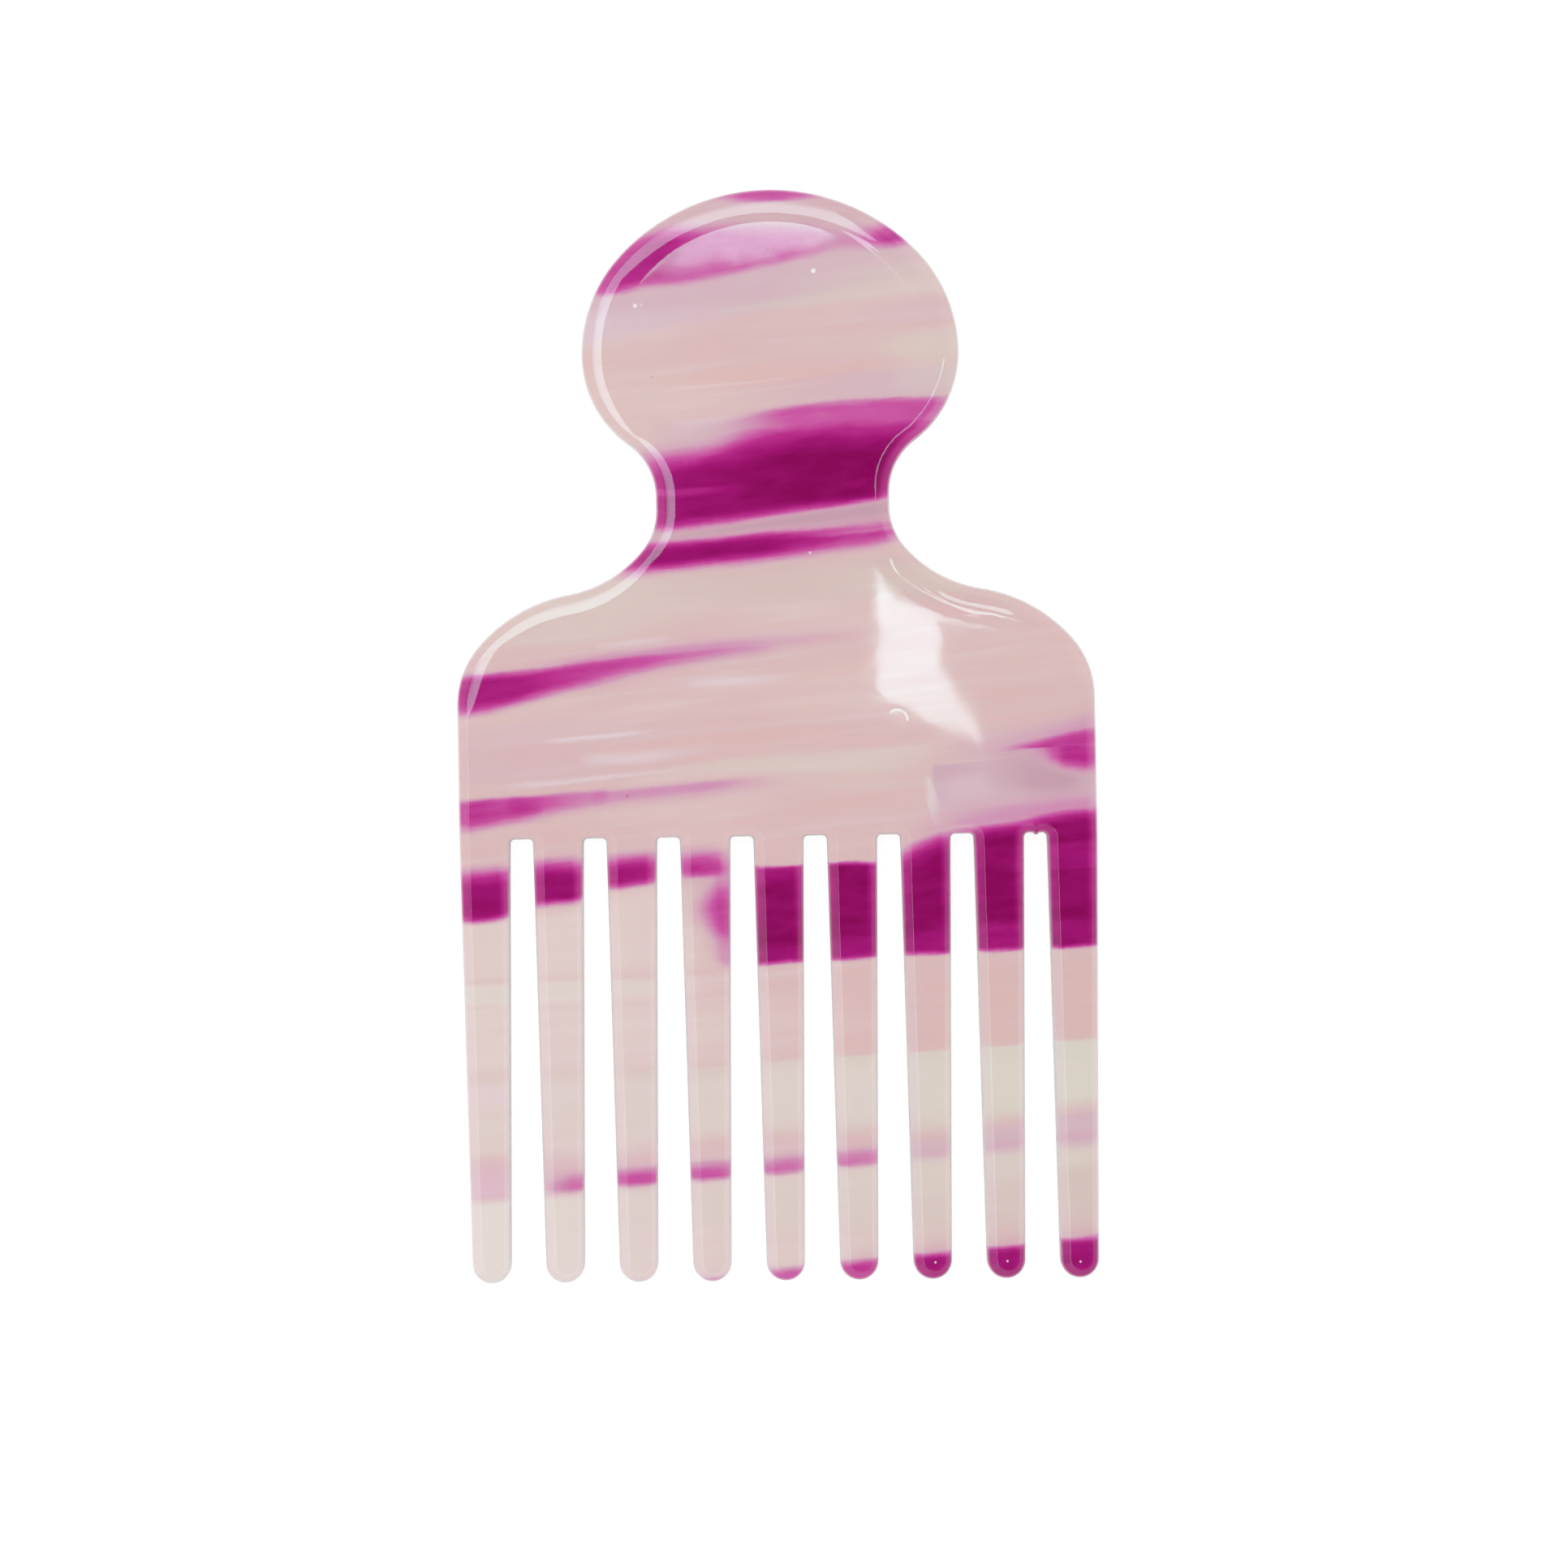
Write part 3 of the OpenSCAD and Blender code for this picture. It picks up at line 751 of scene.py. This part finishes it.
        (-20, -58.9, -64, 0), (-15, -58.7, -64, 0.25), (-8, -58.4, -64, 0.3), (0, -58.2, -64, 0.2),
        (6, -57, -64, 0)]),
    ("sage", (1.5, 3), [
        (-30, -50, -54, 0), (-10, -49, -54, 0.3), (10, -47, -54, 0.5), (36, -45.2, -53, 0.7)]),
    ("clay", (2, 2), [(4, -52, -58, 0), (20, -50, -57.5, 0.2), (36, -47, -57, 0.45)]),
]

# Specks in the upper face, with painted glints among them: colour, place, radius and strength
specksAndGlints = [
    ("white", 4.9, 50.9, 0.34, 1.0),
    ("white", -14.7, 47.4, 0.3, 0.9),
    ("white", -14.0, 47.5, 0.2, 0.4),
    # painted glints near the domed tips of the seventh to ninth teeth
    ("white", 16.4, -58.0, 0.16, 0.8),
    ("white", 24.3, -58.0, 0.16, 0.8),
    ("white", 32.3, -58.2, 0.16, 0.8),
    ("white", 4.0, 20.0, 0.2, 0.6),
    ("soot", -17.8, -42.7, 0.2, 0.6),
    ("soot", 6.0, -38.3, 0.2, 0.5),
    ("soot", -13.0, 39.6, 0.16, 0.4),
    ("soot", -20.9, -10.3, 0.16, 0.3),
    ("wine", -16.5, -6.3, 0.3, 0.3),
    ("wine", -0.1, 53.3, 0.3, 0.5),
    ("wine", -0.5, 52.9, 0.25, 0.4),
    ("wine", 0.5, 53.4, 0.2, 0.4),
]


def addNode(tree, kind, inputs=None, **settings):
    node = tree.nodes.new(kind if kind.startswith("NodeGroup") else "ShaderNode" + kind)
    for name, value in settings.items():
        setattr(node, name, value)
    for socket, value in (inputs or {}).items():
        if isinstance(value, bpy.types.NodeSocket):
            tree.links.new(value, node.inputs[socket])
        else:
            node.inputs[socket].default_value = value
    return node


# The node tree that the values come from, of which one is a socket at least
def treeOf(values):
    return next(v for v in values if isinstance(v, bpy.types.NodeSocket)).id_data


def calc(operation, *values, clamp=False):
    inputs = dict(enumerate(values))
    return addNode(treeOf(values), "Math", inputs, operation=operation, use_clamp=clamp).outputs[0]


def vectorCalc(operation, *values):
    return addNode(treeOf(values), "VectorMath", dict(enumerate(values)), operation=operation).outputs


def noiseAt(place, scale, detail):
    inputs = {"Vector": place, "Scale": scale, "Detail": detail}
    return addNode(place.id_data, "TexNoise", inputs).outputs[0]


# Goes from toLow to toHigh while the value goes from low to high, and no further
def ramp(value, low, high, toLow=0.0, toHigh=1.0, eased=True):
    inputs = {"Value": value, "From Min": low, "From Max": high, "To Min": toLow, "To Max": toHigh}
    kind = "SMOOTHSTEP" if eased else "LINEAR"
    node = addNode(value.id_data, "MapRange", inputs, interpolation_type=kind, clamp=not eased)
    return node.outputs["Result"]


# Colours have inputs 6 and 7 and output 2 of this node to themselves
def mixColours(factor, a, b):
    a, b = (v if isinstance(v, bpy.types.NodeSocket) else (*v, 1) for v in (a, b))
    return addNode(factor.id_data, "Mix", {0: factor, 6: a, 7: b}, data_type="RGBA").outputs[2]


def meshValue(tree, name):
    return addNode(tree, "Attribute", attribute_name=name).outputs["Fac"]


def newMaterial(name):
    material = bpy.data.materials.new(name)
    material.use_nodes = True
    material.node_tree.nodes.clear()
    return material, material.node_tree


def setSurface(shader, kind="Material"):
    addNode(shader.id_data, "Output" + kind, {"Surface": shader.outputs[0]})


curveReach = {"x": 40.0, "y": 66.0}  # what the ends of the curve nodes stand for


# Cuts a streak out of the sheet between the two edges and the amount that its curves give
def streakGroup():
    group = bpy.data.node_groups.new("acetateStreak", "ShaderNodeTree")
    for name in ("y", "softTop", "softLow"):
        group.interface.new_socket(name, in_out="INPUT", socket_type="NodeSocketFloat")
    group.interface.new_socket("curves", in_out="INPUT", socket_type="NodeSocketVector")
    group.interface.new_socket("mask", in_out="OUTPUT", socket_type="NodeSocketFloat")
    given = addNode(group, "NodeGroupInput").outputs
    curves = addNode(group, "SeparateXYZ", {0: given["curves"]}).outputs
    minusY = calc("MULTIPLY", given["y"], -1)
    under = calc("MULTIPLY_ADD", curves["X"], curveReach["y"], minusY)
    over = calc("MULTIPLY_ADD", curves["Y"], -curveReach["y"], given["y"])
    halfTop, halfLow = (calc("MULTIPLY", given[name], 0.5) for name in ("softTop", "softLow"))
    fromTop = ramp(under, calc("MULTIPLY", halfTop, -1), halfTop)
    fromLow = ramp(over, calc("MULTIPLY", halfLow, -1), halfLow)
    mask = calc("MULTIPLY", calc("MULTIPLY", fromTop, fromLow), curves["Z"])
    addNode(group, "NodeGroupOutput", {"mask": mask})
    return group


# A streak's curves are read only once the value that it follows is known. The renderer then works
# through the streaks one by one, instead of keeping all their curves at once, for which it has no room.
def streakMask(pattern, followed, soft, line):
    tree = followed.id_data
    nearlyNothing = (1e-9, 1e-9, 1e-9)
    along = vectorCalc("MULTIPLY_ADD", followed, nearlyNothing, pattern["alongX"])["Vector"]
    curves = addNode(tree, "VectorCurve", {"Vector": along})
    curves.mapping.extend = "HORIZONTAL"
    columns = [(1, curveReach["y"]), (2, curveReach["y"]), (3, 1.0)]
    for curve, (column, reach) in zip(curves.mapping.curves, columns):
        places = [(stop[0] / curveReach["x"], stop[column] / reach) for stop in line]
        for point, place in zip(curve.points, (places[0], places[-1])):
            point.location = place
        for place in places[1:-1]:
            curve.points.new(*place)
        for point in curve.points:
            point.handle_type = "AUTO_CLAMPED"
    curves.mapping.update()
    inputs = {"y": pattern["y"], "softTop": soft[0], "softLow": soft[1], "curves": curves.outputs[0]}
    return addNode(tree, "Group", inputs, node_tree=pattern["group"]).outputs["mask"]


def grain(turned, name):
    scale, detail, seed = grains[name]
    stretched = vectorCalc("MULTIPLY_ADD", turned, scale, (seed, seed, seed))["Vector"]
    return noiseAt(stretched, 1.0, detail)


# Places in the pattern, which bends, frays along the streaks and leans down through the sheet
def makePattern(tree):
    metres = addNode(tree, "TexCoord").outputs["Object"]
    place = vectorCalc("MULTIPLY", metres, (1 / mm, 1 / mm, 1 / mm))["Vector"]
    inputs = {"Vector": place, "Angle": math.radians(-acetate["rise"])}
    turned = addNode(tree, "VectorRotate", inputs, rotation_type="Z_AXIS").outputs[0]
    split = addNode(tree, "SeparateXYZ", {0: place}).outputs
    bends = ("sway", "fray", "fuzz")
    sway, fray, fuzz = (calc("SUBTRACT", grain(turned, name), 0.5) for name in bends)
    shift = calc("MULTIPLY", sway, acetate["sway"])
    shift = calc("MULTIPLY_ADD", fray, acetate["fray"], shift)
    shift = calc("MULTIPLY_ADD", fuzz, acetate["fuzz"], shift)
    depth = calc("SUBTRACT", split["Z"], comb["thickness"])
    shift = calc("MULTIPLY_ADD", depth, acetate["lean"], shift)
    y = calc("ADD", split["Y"], shift)
    x = calc("DIVIDE", split["X"], curveReach["x"])
    alongX = addNode(tree, "CombineXYZ", {0: x, 1: x, 2: x}).outputs[0]
    return dict(group=streakGroup(), place=place, turned=turned, split=split, y=y, alongX=alongX)


def paleGround(pattern):
    noises = {name: grain(pattern["turned"], name) for name in ("broad", "fine")}
    colour = ground["rose"]
    for name, low, high, share, tint in groundClouds:
        colour = mixColours(ramp(noises[name], low, high, 0, share), colour, ground[tint])
    for tint, soft, line in groundTints:
        mask = streakMask(pattern, colour, soft, line)
        colour = mixColours(mask, colour, ground[tint])
    return colour


def streakedDye(pattern):
    dye = calc("MULTIPLY", pattern["split"]["Z"], 0)
    for streak in magentaStreaks.values():
        dye = calc("MAXIMUM", dye, streakMask(pattern, dye, *streak))
    for streak in deeperStreaks.values():
        left = calc("SUBTRACT", 1, dye)
        mask = streakMask(pattern, dye, *streak)
        dye = calc("MULTIPLY_ADD", mask, left, dye)
    for streak in clearings.values():
        kept = calc("SUBTRACT", 1, streakMask(pattern, dye, *streak))
        dye = calc("MULTIPLY", dye, kept)
    cloud = grain(pattern["turned"], "cloud")
    cloud = ramp(cloud, *noiseSpan, *acetate["cloud"], eased=False)
    return calc("MULTIPLY", dye, cloud, clamp=True)


def dyedColour(dye, colour):
    dyed = addNode(dye.id_data, "ValToRGB", {0: dye})
    stops = dyed.color_ramp.elements
    while len(stops) < len(dyeColours):
        stops.new(0.5)
    for stop, (amount, value) in zip(stops, dyeColours.items()):
        stop.position = amount
        stop.color = (*value, 1)
    covering = ramp(dye, 0.0, acetate["covering"], eased=False)
    return mixColours(covering, colour, dyed.outputs[0])


# Painted light: thin polished edges are painted paler for the light they let through, most of all along the teeth, with
# a painted highlight line inside the teeth's facets
def paintedEdgeLight(tree, onTeeth, edgeDepth, dye, colour):
    past = meshValue(tree, "pastFacet")
    undyed = ramp(dye, *thinEdge["undyed"])
    paintedLightShare = calc("MULTIPLY", onTeeth, undyed)
    paintedFacetLight = calc("MULTIPLY", paintedLightShare, ramp(past, *thinEdge["paintedFacetLight"]))
    colour = mixColours(paintedFacetLight, colour, ground["milk"])
    # Painted highlight line where the facet meets the flat
    facetHighlight = ramp(calc("ABSOLUTE", past), *thinEdge["facetHighlight"])
    colour = mixColours(calc("MULTIPLY", paintedLightShare, facetHighlight), colour, ground["white"])
    shown = ramp(undyed, *thinEdge["rimUndyed"], eased=False)
    paintedRimLight = calc("MULTIPLY", shown, ramp(edgeDepth, *thinEdge["paintedRimLight"]))
    return mixColours(paintedRimLight, colour, ground["white"])


# Small marks: specks, painted glints and a painted highlight along the curl
def marksAndPaintedHighlights(tree, place, colour):
    # The white along the curl's groove is a painted highlight
    curl = meshValue(tree, "curlShare")
    colour = mixColours(ramp(curl, *thinEdge["curl"]), colour, ground["white"])
    for tint, x, y, radius, strength in specksAndGlints:
        away = vectorCalc("DISTANCE", place, (x, y, comb["thickness"]))["Value"]
        speck = ramp(away, radius, radius / 2, 0, strength)
        colour = mixColours(speck, colour, ground[tint])
    return colour


def makeAcetate():
    material, tree = newMaterial("pearlAcetate")
    pattern = makePattern(tree)
    place = pattern["place"]
    colour = paleGround(pattern)
    dye = streakedDye(pattern)
    edgeDepth = meshValue(tree, "edgeDepth")
    onTeeth = ramp(pattern["split"]["Y"], *thinEdge["teeth"])
    kept = ramp(onTeeth, *thinEdge["dyeKept"], eased=False)
    # The dye gives way towards the outline, where the sheet is thin; the paleness there is partly painted light that
    # the thin edge lets through
    for start, end in thinEdge["dyeSteps"]:
        dye = calc("MULTIPLY", dye, ramp(edgeDepth, start, end, 1, kept))
    colour = dyedColour(dye, colour)
    colour = paintedEdgeLight(tree, onTeeth, edgeDepth, dye, colour)
    colour = marksAndPaintedHighlights(tree, place, colour)

    # Polish with faint scuffs and ripples
    scuff = noiseAt(place, *acetate["scuffs"])
    rough = ramp(scuff, *acetate["scuffSpan"], *acetate["roughness"])
    ripple = noiseAt(place, *acetate["ripples"])
    bumps = {"Height": ripple, "Strength": 1.0, "Distance": acetate["rippleHeight"]}
    shader = addNode(tree, "BsdfPrincipled", {
        "Base Color": colour,
        "Roughness": rough,
        "IOR": acetate["refraction"],
        "Subsurface Weight": acetate["subsurface"],
        "Subsurface Radius": acetate["spread"],
        "Subsurface Scale": mm,
        "Normal": addNode(tree, "Bump", bumps).outputs[0],
    })
    setSurface(shader)
    return material


sheet.data.materials.append(makeAcetate())
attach(sheet, "root")
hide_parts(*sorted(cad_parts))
print("acetate made:", len(magentaStreaks), "magenta streaks,", len(groundTints), "tints")

studio = {
    "lens": 150.0,
    "sensor": 36.0,
    "viewWidth": 172.1,  # width that the picture takes in
    "viewLevel": 3.0,  # at this height above the floor
    "aim": (0.713, -5.29),  # the place at the middle of the picture
    "roll": -1.0,  # degrees
    "ambient": 0.905,  # from all round, for the matt part of the finish
    "lampPower": 1.33,  # watts
    "lampPlace": (-0.06, 0.08, 0.6),  # metres, as are the lamp, the floor and the heights below
    "lampSize": 0.3,
    "horizon": 1.0,  # what the facets mirror, from well off the vertical
    "zenith": 0.04,  # and what the flat faces mirror, from above
    "horizonSpan": (0.93, 0.76),  # how far up a direction points while one turns into the other
    "floorShade": 0.9,
    "floorSeen": 0.14,  # the floor's shade for the camera, which also sees it glow
    "floorGlow": 0.92,
    "floorReach": 1.5,
    "floorGap": 0.0002,  # below the comb
    "cardTint": (0.62, 0.96, 1.0),
    "cardHeight": 2.0,
    "paneHeight": 0.5,  # of the nearer cards, which the flat of the comb mirrors
    "flagHeight": 0.12,
    "feather": 3.4,  # distance on the comb by which the panes' fading is ragged
    "featherNoise": (0.45, 4),  # scale and detail
    "grit": (0.86, 1.1),  # least and most light where a pane is gritty, as shares
    "gritNoise": (2.2, 3),
}
cameraHeight = studio["viewWidth"] * mm / studio["sensor"] * studio["lens"]

# White cards that only the polish mirrors. A far card's corners are slopes away from straight up.
# A pane's corners are the places on the comb where the flat face shows it. A fade is a direction
# across the card, the two places along it between which the brightness changes, and its last value.
cards = {
    "topCard": dict(bright=5.5, fade=((0, 1), 0.50, 0.68, 0.8), corners=[
        (-0.75, 0.335), (0.165, 0.335), (0.215, 0.39), (0.205, 0.52), (0.19, 0.75), (-0.75, 0.75)]),
    "leftCard": dict(bright=5.5, fade=((-1, 0), 0.46, 0.66, 0.4), corners=[
        (-0.80, -0.40), (-0.345, -0.40), (-0.345, 0.33), (-0.80, 0.33)]),
    "rightStrip": dict(bright=5.5, corners=[
        (0.275, -0.32), (0.47, 0.06), (0.50, 0.05), (0.305, -0.33)]),
    "rimStrip": dict(bright=2.4, tint=(0.9, 0.94, 1.0), corners=[
        (0.47, 0.90), (0.69, 0.84), (0.765, 0.70), (0.755, 0.5), (0.80, 0.31), (0.83, 0.31),
        (0.785, 0.5), (0.795, 0.71), (0.715, 0.87), (0.47, 0.93)]),
    "shoulderLine": dict(bright=7.5, corners=[
        (0.194, 0.304), (0.112, 0.268), (0.083, 0.254), (0.10, 0.222), (0.142, 0.226), (0.164, 0.182),
        (0.278, 0.254), (0.278, 0.264), (0.168, 0.196), (0.152, 0.244), (0.118, 0.250),
        (0.198, 0.296)]),
    "shoulderTail": dict(bright=7.5, corners=[
        (0.083, 0.254), (0.058, 0.175), (0.056, 0.098), (0.066, 0.172), (0.10, 0.222)]),
    "slotEnds": dict(bright=2.0, corners=[
        (-0.06, -0.34), (0.06, -0.34), (0.06, -0.12), (-0.06, -0.12)]),
    "headPane": dict(pane=True, bright=8.4, tint=(0.47, 0.97, 0.82),
                     fade=((0.1, -0.995), -53.2, -51.5, 0.6), corners=[
        (-16, 47.5), (-13, 49.0), (-8, 50.2), (0.3, 51.6), (4.2, 52.5), (5.4, 53.3), (6.6, 54.2),
        (7.1, 54.9), (7.6, 57), (7, 61), (-16, 61)]),
    "platePane": dict(pane=True, bright=10.8, fade=((0.3, -0.95), -12, 5, 7.6), corners=[
        (10.9, 18.3), (13.3, 15.1), (15.4, 13.95), (18.3, 13.1), (24.4, 11.15), (18.4, 12.3),
        (17.4, 12.0), (18.3, 10.9), (17.9, 8.9), (18.2, 7.1), (19.9, 4.1), (22.2, 0), (22.7, -1.4),
        (20.4, -0.1), (16.6, 1.2), (14.4, 2.3), (12.2, 3.5), (11.1, 4.6), (11.0, 7.8), (11.7, 11.7),
        (11.1, 14.0), (11.4, 16.5)]),
}

# Black flags that keep the cards out of parts of the polish
flags = {
    "headFlag": [(24, 72), (36, 62), (56, 66), (44, 90), (26, 88)],
    "shoulderFlag": [(37.5, 24), (60, 24), (60, 39.5), (37.5, 39)],
}


def addQuad(name, corners, material):
    mesh = bpy.data.meshes.new(name)
    mesh.from_pydata([tuple(c) for c in corners], [], [list(range(len(corners)))])
    mesh.materials.append(material)
    quad = addObject(name, mesh)
    return quad


def addCamera():
    data = bpy.data.cameras.new("camera")
    data.lens = studio["lens"]
    data.sensor_width = studio["sensor"]
    data.clip_end = 20
    camera = addObject("camera", data)
    x, y = studio["aim"]
    camera.location = (x * mm, y * mm, cameraHeight + studio["viewLevel"] * mm)
    camera.rotation_euler = (0, 0, math.radians(studio["roll"]))
    bpy.context.scene.camera = camera


def addFloor():
    material, tree = newMaterial("paleFloor")
    seen = addNode(tree, "LightPath").outputs["Is Camera Ray"]
    shade = mixColours(seen, (studio["floorShade"],) * 3, (studio["floorSeen"],) * 3)
    matt = addNode(tree, "BsdfDiffuse", {"Color": shade})
    strength = calc("MULTIPLY", seen, studio["floorGlow"])
    glow = addNode(tree, "Emission", {"Strength": strength})
    both = addNode(tree, "AddShader", {0: matt.outputs[0], 1: glow.outputs[0]})
    setSurface(both)
    reach = studio["floorReach"]
    signs = ((-1, -1), (1, -1), (1, 1), (-1, 1))
    corners = [(x * reach, y * reach, -studio["floorGap"]) for x, y in signs]
    addQuad("floor", corners, material)


def makeWorld():
    world = bpy.data.worlds.new("whiteRoom")
    bpy.context.scene.world = world
    world.use_nodes = True
    tree = world.node_tree
    tree.nodes.clear()
    direction = addNode(tree, "TexCoord").outputs["Generated"]
    upward = addNode(tree, "SeparateXYZ", {0: direction}).outputs["Z"]
    ring = ramp(upward, *studio["horizonSpan"], studio["zenith"], studio["horizon"])
    ray = addNode(tree, "LightPath").outputs
    level = addNode(tree, "Mix", {0: ray["Is Glossy Ray"], 2: studio["ambient"], 3: ring})
    level = addNode(tree, "Mix", {0: ray["Is Camera Ray"], 2: level.outputs[0], 3: 1.0})
    background = addNode(tree, "Background", {"Strength": level.outputs[0]})
    setSurface(background, "World")


def addLamp():
    data = bpy.data.lights.new("softLamp", "AREA")
    data.size = studio["lampSize"]
    data.energy = studio["lampPower"]
    lamp = addObject("softLamp", data)
    lamp.location = studio["lampPlace"]
    lamp.rotation_mode = "QUATERNION"
    lamp.rotation_quaternion = Vector(studio["lampPlace"]).to_track_quat("Z", "Y")
    lamp.visible_glossy = False


def showOnlyInPolish(card):
    card.visible_camera = False
    card.visible_diffuse = False
    card.visible_transmission = False
    card.visible_shadow = False


# A pane is larger than it shows on the comb, because its mirror image lies deep below the comb
def addCard(name, corners, bright, fade=None, pane=False, tint=studio["cardTint"]):
    height = studio["paneHeight" if pane else "cardHeight"]
    size = mm * (cameraHeight + height) / cameraHeight if pane else height
    material, tree = newMaterial(name)
    place = addNode(tree, "TexCoord").outputs["Object"]
    strength = bright
    if fade:
        direction, start, end, last = fade
        along = vectorCalc("DOT_PRODUCT", place, (*direction, 0))["Value"]
        if pane:
            ragged = calc("SUBTRACT", noiseAt(place, *studio["featherNoise"]), 0.5)
            along = calc("MULTIPLY_ADD", ragged, studio["feather"], along)
        strength = ramp(along, start, end, bright, last)
    if pane:
        grit = noiseAt(place, *studio["gritNoise"])
        strength = calc("MULTIPLY", strength, ramp(grit, *noiseSpan, *studio["grit"]))
    setSurface(addNode(tree, "Emission", {"Color": (*tint, 1), "Strength": strength}))
    card = addQuad(name, [(x, y, 0) for x, y in corners], material)
    card.scale = (size, size, 1)
    card.location = (0, 0, height)
    if pane:
        card.location = (*((mm - size) * c for c in studio["aim"]), height)
    showOnlyInPolish(card)


def addFlag(name, corners):
    material, tree = newMaterial(name)
    setSurface(addNode(tree, "Emission", {"Strength": 0}))
    corners = [(x * mm, y * mm, studio["flagHeight"]) for x, y in corners]
    showOnlyInPolish(addQuad(name, corners, material))


addCamera()
addFloor()
makeWorld()
addLamp()
for name, card in cards.items():
    addCard(name, **card)
for name, corners in flags.items():
    addFlag(name, corners)
bpy.context.scene.view_settings.view_transform = "Standard"
print("studio set:", len(cards), "cards and", len(flags), "flags")
